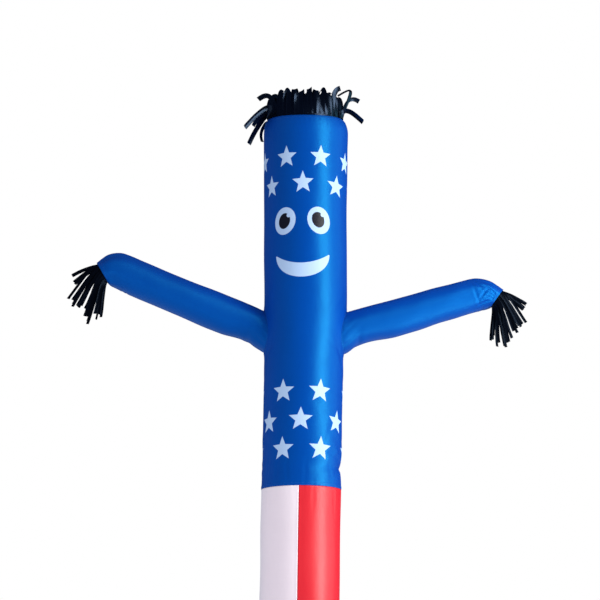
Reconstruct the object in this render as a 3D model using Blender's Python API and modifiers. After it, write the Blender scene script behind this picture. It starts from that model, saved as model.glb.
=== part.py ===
"""Inflatable air dancer: a tall cloth tube with two raised sleeves and cut-cloth fringes.

Metres, +Z up. The origin is on the ground at the middle of the base hem. The front of the
tube looks along -Y and +X is to the right of someone who faces it. It stands as it does with
the air in it: the tube nearly straight, the sleeves raised and bent over at the wrists.
"""

import math
from collections import namedtuple

import bpy
from mathutils import Quaternion, Vector

# Cloth and sewing
CLOTH = 0.002  # wall of every sewn panel
GAP = 0.0003  # between pieces that are sewn edge to edge
SEAM_HEIGHT = 1.696  # where the torso is sewn to the leg panels
FRONT_SEAM_TURN = math.radians(-3.3)  # the seam between the white and the red leg panel

# Tube
TUBE_HEIGHT = 3.050
TUBE_SIDES = 40
HEM_HEIGHT = 0.030  # how far up the tube's lower end is straight, so that it stands flat
LEG_RING_COUNT = 9  # rings of a leg panel above its hem's lower edge
TORSO_HEIGHTS = (1.777, 1.865, 2.000, 2.126, 2.235, 2.345, 2.500, 2.750, 2.930, 3.002, 3.026, 3.040)

# Sleeves
SLEEVE_SIDES = 28
SLEEVE_STEPS = 2  # rings from one row of a sleeve's table to the next
HOLE_ROWS = 3  # rows of a sleeve's table that reach through the tube's wall
CUTTER_LOW = 2.05  # the stretch of tube that trims the sleeves' roots
CUTTER_HIGH = 2.48

# Fringes
STRIP = 0.0018  # thickness of the strips that the strands are cut from
STRAND = 0.0015  # thickness of a strand where it hangs free
STRAND_STEPS = 5
HAIR_COUNT = 54
HAIR_RADIUS = 0.1372
HAIR_STRIP_HEIGHT = 0.010
HAIR_WIDTH = 0.0134
HAIR_TALL = 0.0957  # how high every other strand folds over above the rim
HAIR_SHORT = 0.0791  # and how high its neighbours do
HAIR_TALL_REACH = 0.057  # how far in from the rim a tall strand's tip hangs
HAIR_SHORT_REACH = 0.030
HAIR_LEAVING = 0.70  # how far up its height a strand runs straight
HAIR_TURNING = 1.50  # how steeply it folds over, as a share of its height
HAIR_HANGING = 0.62  # where its tip hangs, as a share of its height
HAIR_LEANING = 0.35  # how much of its reach it has made at the fold
HAIR_SWAY = 0.0010  # how far the hair sways along the rim
HAIR_WAVE = 1.1  # how much further on the sway is from one strand to the next, in radians
HAIR_UNEVEN_HEIGHT = 0.05  # how far strands differ from one another
HAIR_UNEVEN_REACH = 0.003
HAIR_UNEVEN_ROOT = 0.002
HAIR_UNEVEN_TWIST = 18
HAND_COUNT = 22
HAND_STRIP_HEIGHT = 0.007
HAND_WIDTH = 0.0105
HAND_SPREAD = 0.30  # how much further apart in depth the hand strands' tips are than their roots
HAND_LAYER = 0.004  # how far hand strands lie outside or inside the ring, by turns
HAND_LEAVING_TOP = 0.26  # how far a strand runs straight out of the mouth, as a share of its length
HAND_LEAVING_LOW = 0.18
HAND_BEND = 0.62  # where along it a strand starts to hang
HAND_ARCH = 0.04  # how far it arches up there, as a share of its length
HAND_UNEVEN_LENGTH = 0.06
HAND_UNEVEN_TWIST = 18
HAND_LOW_TWIST = 45  # how far the lowest strands turn edge on

# The inflated tube at rising heights: where its middle stands along X, and its outer radius.
Ring = namedtuple("Ring", "height middle radius")
TUBE = (
    Ring(0.000, 0.0000, 0.1500),
    Ring(HEM_HEIGHT, 0.0000, 0.1500),
    Ring(0.060, 0.0000, 0.1496),
    Ring(0.400, 0.0012, 0.1448),
    Ring(0.900, 0.0042, 0.1422),
    Ring(1.300, 0.0080, 0.1416),
    Ring(1.580, 0.0118, 0.1421),
    Ring(1.712, 0.0138, 0.1422),
    Ring(1.777, 0.0135, 0.1396),
    Ring(1.865, 0.0178, 0.1427),
    Ring(1.950, 0.0195, 0.1431),
    Ring(2.126, 0.0224, 0.1433),
    Ring(2.180, 0.0232, 0.1438),
    Ring(2.350, 0.0284, 0.1500),
    Ring(2.750, 0.0291, 0.1516),
    Ring(2.930, 0.0299, 0.1537),
    Ring(3.002, 0.0312, 0.1540),
    Ring(3.026, 0.0314, 0.1520),
    Ring(3.040, 0.0312, 0.1480),
    Ring(3.050, 0.0310, 0.1413),
)

# A sleeve from inside the tube to its open end: its upper and its lower edge seen from the
# front, as distance out from the origin and height, half its depth, and its pleats' depth.
Section = namedtuple("Section", "top_out top_height low_out low_height half_depth pleat")
LEFT_SLEEVE = (
    Section(0.043, 2.311, 0.043, 2.156, 0.0660, 0.0),
    Section(0.119, 2.343, 0.119, 2.188, 0.0660, 0.0),
    Section(0.146, 2.354, 0.194, 2.234, 0.0648, 0.0010),
    Section(0.354, 2.441, 0.401, 2.320, 0.0645, 0.0),
    Section(0.555, 2.526, 0.603, 2.403, 0.0640, 0.0),
    Section(0.607, 2.548, 0.645, 2.420, 0.0635, 0.0008),
    Section(0.646, 2.5565, 0.669, 2.4294, 0.0620, 0.0022),
    Section(0.691, 2.547, 0.681, 2.4353, 0.0580, 0.0032),
    Section(0.731, 2.519, 0.6885, 2.4446, 0.0500, 0.0010),
)
RIGHT_SLEEVE = (
    Section(0.103, 2.315, 0.091, 2.159, 0.0660, 0.0),
    Section(0.183, 2.339, 0.171, 2.183, 0.0660, 0.0),
    Section(0.198, 2.3436, 0.231, 2.223, 0.0648, 0.0010),
    Section(0.332, 2.384, 0.366, 2.249, 0.0650, 0.0),
    Section(0.486, 2.426, 0.521, 2.297, 0.0645, 0.0),
    Section(0.604, 2.458, 0.631, 2.331, 0.0640, 0.0008),
    Section(0.658, 2.4654, 0.673, 2.344, 0.0620, 0.0022),
    Section(0.709, 2.452, 0.695, 2.351, 0.0580, 0.0034),
    Section(0.753, 2.4205, 0.7055, 2.3546, 0.0500, 0.0010),
)

# Hair strands that fly out of the row. place counts strands from the middle of the front, to
# the right. The others are distances from the root: out from the tube's middle, along the
# rim to the right, and up. A strand leaves its root towards rise, turns, and ends at its tip.
Flyer = namedtuple("Flyer", "place rise turn_out turn_up tip_out tip_along tip_up twist")
HAIR_FLYERS = (
    Flyer(-26, 0.060, 0.016, 0.085, 0.036, 0.014, 0.070, 25),
    Flyer(-22, 0.045, 0.034, 0.044, 0.034, -0.010, -0.045, 30),
    Flyer(-19, 0.050, 0.030, 0.052, 0.050, 0.004, -0.030, -20),
    Flyer(-16, 0.035, 0.046, -0.022, 0.028, 0.000, -0.061, 15),
    Flyer(-12, 0.035, 0.032, -0.004, 0.071, 0.000, -0.091, 62),
    Flyer(-11, 0.038, 0.046, 0.005, 0.049, 0.004, -0.036, 40),
    Flyer(-10, 0.040, 0.046, 0.013, 0.069, 0.000, -0.035, 55),
    Flyer(-9, 0.062, 0.030, 0.046, 0.105, -0.020, -0.045, 55),
    Flyer(-8, 0.085, 0.015, 0.104, 0.046, -0.030, 0.066, 45),
    Flyer(7, 0.070, 0.000, 0.100, 0.020, 0.020, 0.104, -20),
    Flyer(11, 0.050, 0.033, 0.038, 0.082, 0.000, -0.015, -60),
    Flyer(13, 0.062, 0.078, 0.162, -0.017, 0.000, 0.098, -35),
    Flyer(16, 0.055, 0.022, 0.124, 0.070, 0.000, 0.094, -45),
    Flyer(19, 0.052, 0.024, 0.060, 0.044, 0.008, 0.004, -30),
    Flyer(22, 0.075, 0.010, 0.100, 0.034, -0.030, 0.110, 30),
    Flyer(25, 0.040, 0.036, 0.034, 0.030, -0.010, -0.058, -25),
)

# The locks that a hand's strands fall into, from the upper to the lower end of the sleeve's
# mouth: how far down the mouth a lock begins, from 0 to 1, how steeply it hangs, in degrees
# below the horizontal, and the length of its strands.
Lock = namedtuple("Lock", "start slope length")
LEFT_LOCKS = (
    Lock(0.00, 26, 0.110),
    Lock(0.02, 36, 0.108),
    Lock(0.10, 51, 0.168),
    Lock(0.20, 56, 0.172),
    Lock(0.45, 61, 0.156),
    Lock(0.60, 68, 0.178),
    Lock(0.80, 73, 0.152),
    Lock(0.93, 78, 0.136),
)
RIGHT_LOCKS = (
    Lock(0.00, 32, 0.102),
    Lock(0.02, 37, 0.104),
    Lock(0.10, 55, 0.144),
    Lock(0.20, 60, 0.148),
    Lock(0.42, 67, 0.152),
    Lock(0.60, 75, 0.170),
    Lock(0.80, 82, 0.152),
    Lock(0.93, 90, 0.126),
)

Finish = namedtuple("Finish", "name colour roughness metallic")
BLUE_CLOTH = Finish("blue_cloth", (0.004, 0.070, 0.410), 0.45, 0.0)
WHITE_CLOTH = Finish("white_cloth", (0.740, 0.700, 0.800), 0.50, 0.0)
RED_CLOTH = Finish("red_cloth", (0.760, 0.040, 0.060), 0.45, 0.0)
BLACK_FRINGE = Finish("black_fringe", (0.006, 0.007, 0.012), 0.40, 0.0)


def clear_scene():
    """Remove whatever objects the scene holds."""
    for old in list(bpy.data.objects):
        bpy.data.objects.remove(old, do_unlink=True)


def new_collection(name):
    """A collection of this name in the scene."""
    collection = bpy.data.collections.new(name)
    bpy.context.scene.collection.children.link(collection)
    return collection


def material(finish):
    """A Principled material with this finish, made once."""
    if finish.name in bpy.data.materials:
        return bpy.data.materials[finish.name]
    made = bpy.data.materials.new(finish.name)
    made.use_nodes = True
    shader = made.node_tree.nodes["Principled BSDF"]
    shader.inputs["Base Color"].default_value = (*finish.colour, 1.0)
    shader.inputs["Roughness"].default_value = finish.roughness
    shader.inputs["Metallic"].default_value = finish.metallic
    return made


def unevenness(place, kind):
    """A fixed number from -1 to 1 that jumps about from place to place, one run per kind."""
    return 2.0 * ((math.sin(place * 12.9898 + kind * 78.233) * 43758.5453) % 1.0) - 1.0


def between(rows, at):
    """The values at a place between a table's rows, on a smooth curve through all of them.

    The first column is the place. Each other column follows a cubic whose slope at a row is
    that of the line between the rows on either side of it.
    """
    last = len(rows) - 1
    low = max(i for i in range(last) if rows[i][0] <= at or i == 0)
    before, start, end, after = (rows[min(max(low + k, 0), last)] for k in (-1, 0, 1, 2))
    span = end[0] - start[0]
    t = (at - start[0]) / span
    values = []
    for a, b, c, d in zip(before[1:], start[1:], end[1:], after[1:]):
        leaving = (c - a) / (end[0] - before[0]) * span
        arriving = (d - b) / (after[0] - start[0]) * span
        values.append(
            (2 * t**3 - 3 * t**2 + 1) * b
            + (t**3 - 2 * t**2 + t) * leaving
            + (3 * t**2 - 2 * t**3) * c
            + (t**3 - t**2) * arriving
        )
    return values


def mesh_object(name, points, faces, finish, collection):
    """An object made of these points and faces, shaded smooth but for its sharp edges."""
    mesh = bpy.data.meshes.new(name)
    mesh.from_pydata([tuple(p) for p in points], [], faces)
    mesh.update()
    mesh.shade_smooth()
    mesh.set_sharp_from_angle(angle=math.radians(40))
    made = bpy.data.objects.new(name, mesh)
    if finish is not None:
        mesh.materials.append(material(finish))
    collection.objects.link(made)
    return made


def loft(rings, closed_round=True, capped=False):
    """Points and faces of a skin over rings of equal count, with its faces outwards."""
    count = len(rings[0])
    points = [p for ring in rings for p in ring]
    faces = []
    for i in range(len(rings) - 1):
        for j in range(count if closed_round else count - 1):
            k = (j + 1) % count
            faces.append((i * count + j, i * count + k, (i + 1) * count + k, (i + 1) * count + j))
    if capped:
        faces.append(tuple(reversed(range(count))))
        faces.append(tuple((len(rings) - 1) * count + j for j in range(count)))
    return points, faces


def add_wall(made):
    """Give an open skin, which is a panel's inner face, the cloth's thickness outwards."""
    wall = made.modifiers.new("wall", "SOLIDIFY")
    wall.thickness = CLOTH
    wall.offset = 1.0
    wall.use_even_offset = True


def add_cut(made, cutter):
    """Take a cutter's volume out of an object."""
    cut = made.modifiers.new("cut", "BOOLEAN")
    cut.operation = "DIFFERENCE"
    cut.solver = "EXACT"
    cut.object = cutter


# ---------------------------------------------------------------- tube


def tube_ring(height, turns, thicker=0.0):
    """Points round the tube at one height; turn 0 is the front and turns run to the right."""
    middle, radius = between(TUBE, height)
    radius += thicker
    return [Vector((middle + radius * math.sin(a), -radius * math.cos(a), height)) for a in turns]


def full_turn(sides):
    """Turns of a closed ring, starting at the front seam."""
    return [FRONT_SEAM_TURN + 2 * math.pi * i / sides for i in range(sides)]


def torso_panel(parts, cutters):
    """The blue torso and head: one cloth tube, drawn in at its rim, with two sleeve holes."""
    heights = (SEAM_HEIGHT, *TORSO_HEIGHTS, TUBE_HEIGHT)
    rings = [tube_ring(z, full_turn(TUBE_SIDES), -CLOTH) for z in heights]
    torso = mesh_object("torso_panel", *loft(rings), BLUE_CLOTH, parts)
    add_wall(torso)
    for side, rows in ((-1, LEFT_SLEEVE), (1, RIGHT_SLEEVE)):
        hole_rings = sleeve_rings(side, rows[:HOLE_ROWS], CLOTH)
        hole = mesh_object("hole_cutter", *loft(hole_rings, capped=True), None, cutters)
        add_cut(torso, hole)


def leg_panel(name, first_turn, finish, parts):
    """Half of the tube's lower part, from the ground to the torso's seam."""
    half = TUBE_SIDES // 2
    edge = GAP / 2 / TUBE[-1].radius
    turns = [first_turn + edge + (math.pi - 2 * edge) * i / half for i in range(half + 1)]
    top = SEAM_HEIGHT - GAP
    rise = (top - HEM_HEIGHT) / (LEG_RING_COUNT - 1)
    heights = [0.0] + [HEM_HEIGHT + rise * i for i in range(LEG_RING_COUNT)]
    rings = [tube_ring(z, turns, -CLOTH) for z in heights]
    panel = mesh_object(name, *loft(rings, closed_round=False), finish, parts)
    add_wall(panel)


# ---------------------------------------------------------------- sleeves


def pleats(turn):
    """How far a pleated sleeve stands in or out at a turn round it, from -1 to 1, unevenly."""
    return 0.6 * math.cos(5 * turn + 0.7) + 0.4 * math.cos(8 * turn + 2.3)


def sleeve_frame(side, section):
    """A section's middle, half height and direction up it, and the direction of its depth."""
    top = Vector((side * section.top_out, 0, section.top_height))
    low = Vector((side * section.low_out, 0, section.low_height))
    return (top + low) / 2, (top - low).length / 2, (top - low).normalized(), Vector((0, -side, 0))


def sleeve_ring(side, section, thinner, sides=SLEEVE_SIDES):
    """Points round one section of a sleeve, starting at its upper edge."""
    middle, half_height, up, across = sleeve_frame(side, section)
    points = []
    for i in range(sides):
        turn = 2 * math.pi * i / sides
        more = section.pleat * pleats(turn) - thinner
        points.append(
            middle
            + up * (half_height + more) * math.cos(turn)
            + across * (section.half_depth + more) * math.sin(turn)
        )
    return points


def sleeve_rings(side, rows, thinner):
    """A sleeve's rings, on smooth curves through the rows of its table."""
    placed = [(0.0, *rows[0])]
    for before, row in zip(rows, rows[1:]):
        one, two = (sleeve_frame(side, r)[0] for r in (before, row))
        placed.append((placed[-1][0] + (two - one).length, *row))
    rings = []
    for start, end in zip(placed, placed[1:]):
        for k in range(SLEEVE_STEPS):
            at = start[0] + (end[0] - start[0]) * k / SLEEVE_STEPS
            rings.append(sleeve_ring(side, Section(*between(placed, at)), thinner))
    rings.append(sleeve_ring(side, rows[-1], thinner))
    return rings


def sleeve(name, side, rows, trimmer, parts):
    """A sleeve: an open cloth tube, trimmed where the torso's wall begins."""
    made = mesh_object(name, *loft(sleeve_rings(side, rows, CLOTH)), BLUE_CLOTH, parts)
    add_wall(made)
    add_cut(made, trimmer)


# ---------------------------------------------------------------- fringes


def bezier(a, b, c, d, t):
    """A point on the cubic curve from a to d that leaves towards b and arrives from c."""
    s = 1 - t
    return a * s**3 + b * 3 * s * s * t + c * 3 * s * t * t + d * t**3


def strand_sections(route, along, width, twist):
    """Corners of a flat strand's sections past its root, along a cubic route.

    Its width starts along the strip. It is carried along the route with no turn of its own,
    and then given the twist, little by little.
    """
    steps = [i / STRAND_STEPS for i in range(STRAND_STEPS + 1)]
    middles = [bezier(*route, t) for t in steps]
    heading = (middles[1] - middles[0]).normalized()
    across = (along - heading * along.dot(heading)).normalized()
    sections = []
    for i in range(1, STRAND_STEPS + 1):
        ahead = (middles[min(i + 1, STRAND_STEPS)] - middles[i - 1]).normalized()
        across.rotate(heading.rotation_difference(ahead))
        heading = ahead
        turned = across.copy()
        turned.rotate(Quaternion(heading, math.radians(twist) * math.sin(steps[i] * math.pi / 2)))
        half_width = turned * width / 2
        half_wall = heading.cross(turned) * STRAND / 2
        middle = middles[i]
        sections.append(
            (
                middle + half_width + half_wall,
                middle - half_width + half_wall,
                middle - half_width - half_wall,
                middle + half_width - half_wall,
            )
        )
    return sections


def fringe(name, stations, axis, strip_height, strands, parts):
    """A closed strip with strands that stand on its edge, as one body.

    stations holds two places round the strip for each strand, as pairs of a point on its
    outer face's edge and one on its inner face's edge. strands holds each strand's sections.
    """
    points = []
    faces = []
    count = len(stations)
    for outer, inner in stations:
        points += [outer - axis * strip_height, outer, inner, inner - axis * strip_height]
    for i in range(count):
        a = 4 * i
        b = 4 * ((i + 1) % count)
        faces += [(a, b, b + 1, a + 1), (a + 2, b + 2, b + 3, a + 3), (a + 3, b + 3, b, a)]
        if i % 2:
            faces.append((a + 1, b + 1, b + 2, a + 2))
            continue
        ring = [b + 2, a + 2, a + 1, b + 1]
        for section in strands[i // 2]:
            first = len(points)
            points += section
            for j in range(4):
                k = (j + 1) % 4
                low_j, low_k, high_j, high_k = ring[j], ring[k], first + j, first + k
                # Both wide faces are split along the same diagonal, so a twist keeps its wall.
                if j == 2:
                    faces += [(low_j, low_k, high_j), (low_k, high_k, high_j)]
                else:
                    faces += [(low_j, low_k, high_k), (low_j, high_k, high_j)]
            ring = [first + j for j in range(4)]
        faces.append(tuple(ring))
    mesh_object(name, points, faces, BLACK_FRINGE, parts)


def hair_route(place, root, out, along, flyer):
    """The route of one hair strand. Those that don't fly out rise, then fold over inwards."""
    up = Vector((0, 0, 1))
    if flyer:
        rise = root + up * flyer.rise
        turn = root + out * flyer.turn_out + up * flyer.turn_up + along * flyer.tip_along * 0.2
        tip = root + out * flyer.tip_out + along * flyer.tip_along + up * flyer.tip_up
        return root, rise, turn, tip
    tall = place % 2
    height = (HAIR_TALL if tall else HAIR_SHORT) * (1 + HAIR_UNEVEN_HEIGHT * unevenness(place, 1))
    reach = HAIR_TALL_REACH if tall else HAIR_SHORT_REACH
    reach += HAIR_UNEVEN_REACH * unevenness(place, 2)
    swayed = root + along * HAIR_SWAY * math.sin(HAIR_WAVE * place)
    rise = root + up * height * HAIR_LEAVING + out * HAIR_UNEVEN_ROOT * unevenness(place, 3)
    turn = swayed + up * height * HAIR_TURNING - out * reach * HAIR_LEANING
    tip = swayed + up * height * HAIR_HANGING - out * reach
    return root, rise, turn, tip


def hair_fringe(parts):
    """The hair: a ring of strands on a narrow strip that is sewn inside the tube's rim."""
    middle = Vector((TUBE[-1].middle, 0, TUBE_HEIGHT))
    flyers = {flyer.place: flyer for flyer in HAIR_FLYERS}
    half_angle = HAIR_WIDTH / 2 / HAIR_RADIUS
    stations = []
    strands = []
    for place in range(-HAIR_COUNT // 2, HAIR_COUNT // 2):
        turn = 2 * math.pi * place / HAIR_COUNT
        out = Vector((math.sin(turn), -math.cos(turn), 0))
        along = Vector((math.cos(turn), math.sin(turn), 0))
        for a in (turn - half_angle, turn + half_angle):
            way = Vector((math.sin(a), -math.cos(a), 0))
            outer = middle + way * (HAIR_RADIUS + STRIP / 2)
            inner = middle + way * (HAIR_RADIUS - STRIP / 2)
            stations.append((outer, inner))
        flyer = flyers.get(place)
        twist = flyer.twist if flyer else HAIR_UNEVEN_TWIST * unevenness(place, 5)
        route = hair_route(place, middle + out * HAIR_RADIUS, out, along, flyer)
        strands.append(strand_sections(route, along, HAIR_WIDTH, twist))
    fringe("hair_fringe", stations, Vector((0, 0, 1)), HAIR_STRIP_HEIGHT, strands, parts)


def hand_fringe(name, side, rows, locks, parts):
    """A hand: a ring of strands on a narrow strip that is sewn inside a sleeve's mouth."""
    mouth = rows[-1]
    middle, half_height, up, across = sleeve_frame(side, mouth)
    axis = up.cross(across)
    inset = CLOTH + 2 * GAP + mouth.pleat
    stations = []
    strands = []

    def on_mouth(turn, deeper):
        """A point on the mouth's oval at a turn from its upper end, moved inwards."""
        return (
            middle
            + up * (half_height - inset - deeper) * math.cos(turn)
            + across * (mouth.half_depth - inset - deeper) * math.sin(turn)
        )

    for place in range(HAND_COUNT):
        turn = 2 * math.pi * (place + 0.5) / HAND_COUNT
        root = on_mouth(turn, STRIP / 2)
        along = on_mouth(turn + 0.01, STRIP / 2) - on_mouth(turn - 0.01, STRIP / 2)
        half_angle = HAND_WIDTH / 2 / (along.length / 0.02)
        for a in (turn - half_angle, turn + half_angle):
            stations.append((on_mouth(a, 0), on_mouth(a, STRIP)))
        down_the_mouth = (1 - math.cos(turn)) / 2
        lock = max(row for row in locks if row.start <= down_the_mouth)
        slope = math.radians(lock.slope)
        length = lock.length * (1 - HAND_UNEVEN_LENGTH * (1 - unevenness(place, 9 + side)))
        way = Vector((side * math.cos(slope), 0, -math.sin(slope)))
        outwards = on_mouth(turn, 0) - on_mouth(turn, STRIP)
        layer = (outwards - way * outwards.dot(way)).normalized() * HAND_LAYER
        if min(place, HAND_COUNT - 1 - place) % 2:
            layer.negate()
        tip = root + way * length + layer + Vector((0, (root.y - middle.y) * HAND_SPREAD, 0))
        leaving = HAND_LEAVING_TOP + (HAND_LEAVING_LOW - HAND_LEAVING_TOP) * down_the_mouth
        rise = root + axis * length * leaving + layer
        bend = root.lerp(tip, HAND_BEND) + Vector((0, 0, HAND_ARCH * length))
        twist = HAND_UNEVEN_TWIST * unevenness(place, 12 + side)
        twist += HAND_LOW_TWIST * down_the_mouth**2
        route = (root, rise, bend, tip)
        strands.append(strand_sections(route, along.normalized(), HAND_WIDTH, twist))
    fringe(name, stations, axis, HAND_STRIP_HEIGHT, strands, parts)


def build():
    """Make every piece of the dancer."""
    clear_scene()
    parts = new_collection("inflatable_air_dancer")
    cutters = new_collection("cutters")
    trim_heights = [z for z in TORSO_HEIGHTS if CUTTER_LOW < z < CUTTER_HIGH]
    trim_rings = [
        tube_ring(z, full_turn(TUBE_SIDES), GAP) for z in (CUTTER_LOW, *trim_heights, CUTTER_HIGH)
    ]
    trimmer = mesh_object("tube_cutter", *loft(trim_rings, capped=True), None, cutters)
    torso_panel(parts, cutters)
    leg_panel("leg_panel_red", FRONT_SEAM_TURN, RED_CLOTH, parts)
    leg_panel("leg_panel_white", FRONT_SEAM_TURN + math.pi, WHITE_CLOTH, parts)
    sleeve("sleeve_left", -1, LEFT_SLEEVE, trimmer, parts)
    sleeve("sleeve_right", 1, RIGHT_SLEEVE, trimmer, parts)
    hair_fringe(parts)
    hand_fringe("hand_fringe_left", -1, LEFT_SLEEVE, LEFT_LOCKS, parts)
    hand_fringe("hand_fringe_right", 1, RIGHT_SLEEVE, RIGHT_LOCKS, parts)
    for cutter in cutters.objects:
        cutter.hide_render = True
        cutter.display_type = "WIRE"


build()
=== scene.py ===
"""The dressed air dancer: printed nylon panels, sewn seams, raised sleeves and ribbon fringes.

Metres, +Z up. The origin is on the ground at the middle of the base hem, the face looks along
-Y, and +X is to the right of someone who faces it. Every cloth surface is a function of a turn
round a tube and a distance along it.
"""

import logging
import math
from dataclasses import dataclass, field
from enum import Enum
from typing import Callable, Sequence

import bpy
import numpy as np
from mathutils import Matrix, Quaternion, Vector


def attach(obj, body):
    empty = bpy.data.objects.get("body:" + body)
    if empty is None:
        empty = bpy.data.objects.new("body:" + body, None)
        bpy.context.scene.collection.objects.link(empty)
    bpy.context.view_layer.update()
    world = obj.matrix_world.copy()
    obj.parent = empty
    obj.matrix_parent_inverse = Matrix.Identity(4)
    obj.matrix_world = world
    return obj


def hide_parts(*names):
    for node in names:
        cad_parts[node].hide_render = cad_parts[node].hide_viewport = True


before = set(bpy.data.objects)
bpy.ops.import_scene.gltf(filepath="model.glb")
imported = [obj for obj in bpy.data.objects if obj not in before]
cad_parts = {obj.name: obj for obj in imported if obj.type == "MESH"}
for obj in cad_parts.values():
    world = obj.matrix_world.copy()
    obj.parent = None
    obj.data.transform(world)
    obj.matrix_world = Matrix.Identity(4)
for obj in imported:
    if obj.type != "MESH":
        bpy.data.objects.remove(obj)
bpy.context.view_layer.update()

LOG = logging.getLogger("air_dancer")
Array = np.ndarray
Colour = tuple[float, float, float]
Point = tuple[float, float, float]
Pair = tuple[float, float]
Paint = bpy.types.NodeSocket | Colour

BODY = "root"

# Sizes that the frame's solids have too
CLOTH = 0.002
GAP = 0.0003
SEAM_HEIGHT = 1.696  # of the waist seam
TUBE_HEIGHT = 3.050
FRONT_SEAM_TURN = math.radians(-3.3)
STRIP = 0.0018  # thickness of a fringe's backing strip

# Sizes of the dressed cloth
MEAN_RADIUS = 0.146  # turns an angle round the tube into a distance
STITCH_INSET = 0.0035  # from a seam's middle or edge to its row of stitches
EDGE_FADE = 0.004  # over which layers and gathers grow from none at a cloth's lower end

# The inflated tube at rising heights: where its middle stands along X, and its outer radius.
TUBE = np.array([
    (0.000, 0.0000, 0.1500),
    (0.030, 0.0000, 0.1500),
    (0.060, 0.0000, 0.1497),
    (0.400, 0.0014, 0.1462),
    (0.900, 0.0050, 0.1440),
    (1.300, 0.0095, 0.1434),
    (1.580, 0.0134, 0.1438),
    (1.700, 0.0155, 0.1440),
    (1.740, 0.0160, 0.1423),
    (1.768, 0.0137, 0.1397),
    (1.800, 0.0188, 0.1420),
    (1.865, 0.0198, 0.1436),
    (1.950, 0.0212, 0.1436),
    (2.126, 0.0241, 0.1442),
    (2.180, 0.0250, 0.1448),
    (2.350, 0.0312, 0.1508),
    (2.750, 0.0314, 0.1528),
    (2.930, 0.0322, 0.1548),
    (3.002, 0.0334, 0.1556),
    (3.026, 0.0326, 0.1532),
    (3.040, 0.0318, 0.1487),
    (3.050, 0.0310, 0.1425),
])

# A sleeve from inside the tube to its open end: its upper and its lower edge seen from the
# front, as distance out from the origin and height, half its depth, and its pleats' depth.
LEFT_SECTIONS = np.array([
    (0.043, 2.311, 0.043, 2.156, 0.0660, 0.0),
    (0.119, 2.343, 0.119, 2.188, 0.0660, 0.0),
    (0.146, 2.355, 0.194, 2.233, 0.0655, 0.0010),
    (0.230, 2.3915, 0.280, 2.2590, 0.0655, 0.0),
    (0.354, 2.440, 0.404, 2.312, 0.0650, 0.0),
    (0.555, 2.524, 0.605, 2.399, 0.0645, 0.0),
    (0.607, 2.546, 0.646, 2.418, 0.0640, 0.0008),
    (0.646, 2.5555, 0.669, 2.429, 0.0620, 0.0022),
    (0.691, 2.547, 0.681, 2.4353, 0.0580, 0.0032),
    (0.731, 2.519, 0.6885, 2.4446, 0.0500, 0.0010),
])
RIGHT_SECTIONS = np.array([
    (0.103, 2.315, 0.091, 2.159, 0.0660, 0.0),
    (0.183, 2.339, 0.171, 2.183, 0.0660, 0.0),
    (0.198, 2.343, 0.233, 2.2195, 0.0655, 0.0010),
    (0.332, 2.380, 0.366, 2.248, 0.0650, 0.0),
    (0.486, 2.423, 0.521, 2.298, 0.0645, 0.0),
    (0.604, 2.4535, 0.631, 2.332, 0.0640, 0.0008),
    (0.658, 2.4635, 0.673, 2.3445, 0.0620, 0.0022),
    (0.709, 2.452, 0.695, 2.351, 0.0580, 0.0034),
    (0.753, 2.4205, 0.7055, 2.3546, 0.0500, 0.0010),
])

# Hair strands that fly out of the row: place from the middle of the front, to the right, then
# distances from the root: the rise; out and up at the turn; out, along and up at the tip; twist.
HAIR_FLYERS = {
    -26: (0.060, 0.016, 0.085, 0.036, 0.014, 0.070, 25),
    -22: (0.045, 0.034, 0.044, 0.034, -0.010, -0.045, 30),
    -16: (0.035, 0.046, -0.022, 0.028, 0.000, -0.061, 15),
    -12: (0.035, 0.032, -0.004, 0.071, 0.000, -0.091, 62),
    -11: (0.038, 0.046, 0.005, 0.049, 0.004, -0.036, 40),
    -10: (0.040, 0.046, 0.013, 0.069, 0.000, -0.035, 55),
    -9: (0.062, 0.030, 0.046, 0.105, -0.020, -0.045, 55),
    -8: (0.075, 0.024, 0.094, 0.050, -0.034, 0.064, 55),
    7: (0.070, 0.000, 0.100, 0.020, 0.020, 0.104, -20),
    11: (0.050, 0.033, 0.038, 0.082, 0.000, -0.015, -60),
    13: (0.062, 0.078, 0.162, -0.017, 0.000, 0.098, -35),
    16: (0.055, 0.022, 0.124, 0.070, 0.000, 0.094, -45),
    19: (0.052, 0.024, 0.060, 0.044, 0.008, 0.004, -30),
    22: (0.075, 0.010, 0.100, 0.034, -0.030, 0.110, 30),
    25: (0.040, 0.036, 0.034, 0.030, -0.010, -0.058, -25),
}

# The locks of a hand, from the upper to the lower end of the sleeve's mouth: how far down the
# mouth a lock begins, how steeply it hangs, in degrees, and the length of its strands.
LEFT_LOCKS = np.array([
    (0.00, 26, 0.110),
    (0.02, 36, 0.108),
    (0.10, 51, 0.168),
    (0.20, 56, 0.172),
    (0.45, 61, 0.156),
    (0.60, 68, 0.178),
    (0.80, 73, 0.152),
    (0.93, 78, 0.136),
])
RIGHT_LOCKS = np.array([
    (0.00, 32, 0.102),
    (0.02, 37, 0.104),
    (0.10, 55, 0.144),
    (0.20, 60, 0.148),
    (0.42, 67, 0.152),
    (0.60, 75, 0.170),
    (0.80, 82, 0.152),
    (0.93, 90, 0.126),
])


class Side(Enum):
    """Which way a sleeve points along X."""

    LEFT = -1
    RIGHT = 1


# ---------------------------------------------------------------- numbers and surfaces


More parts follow.
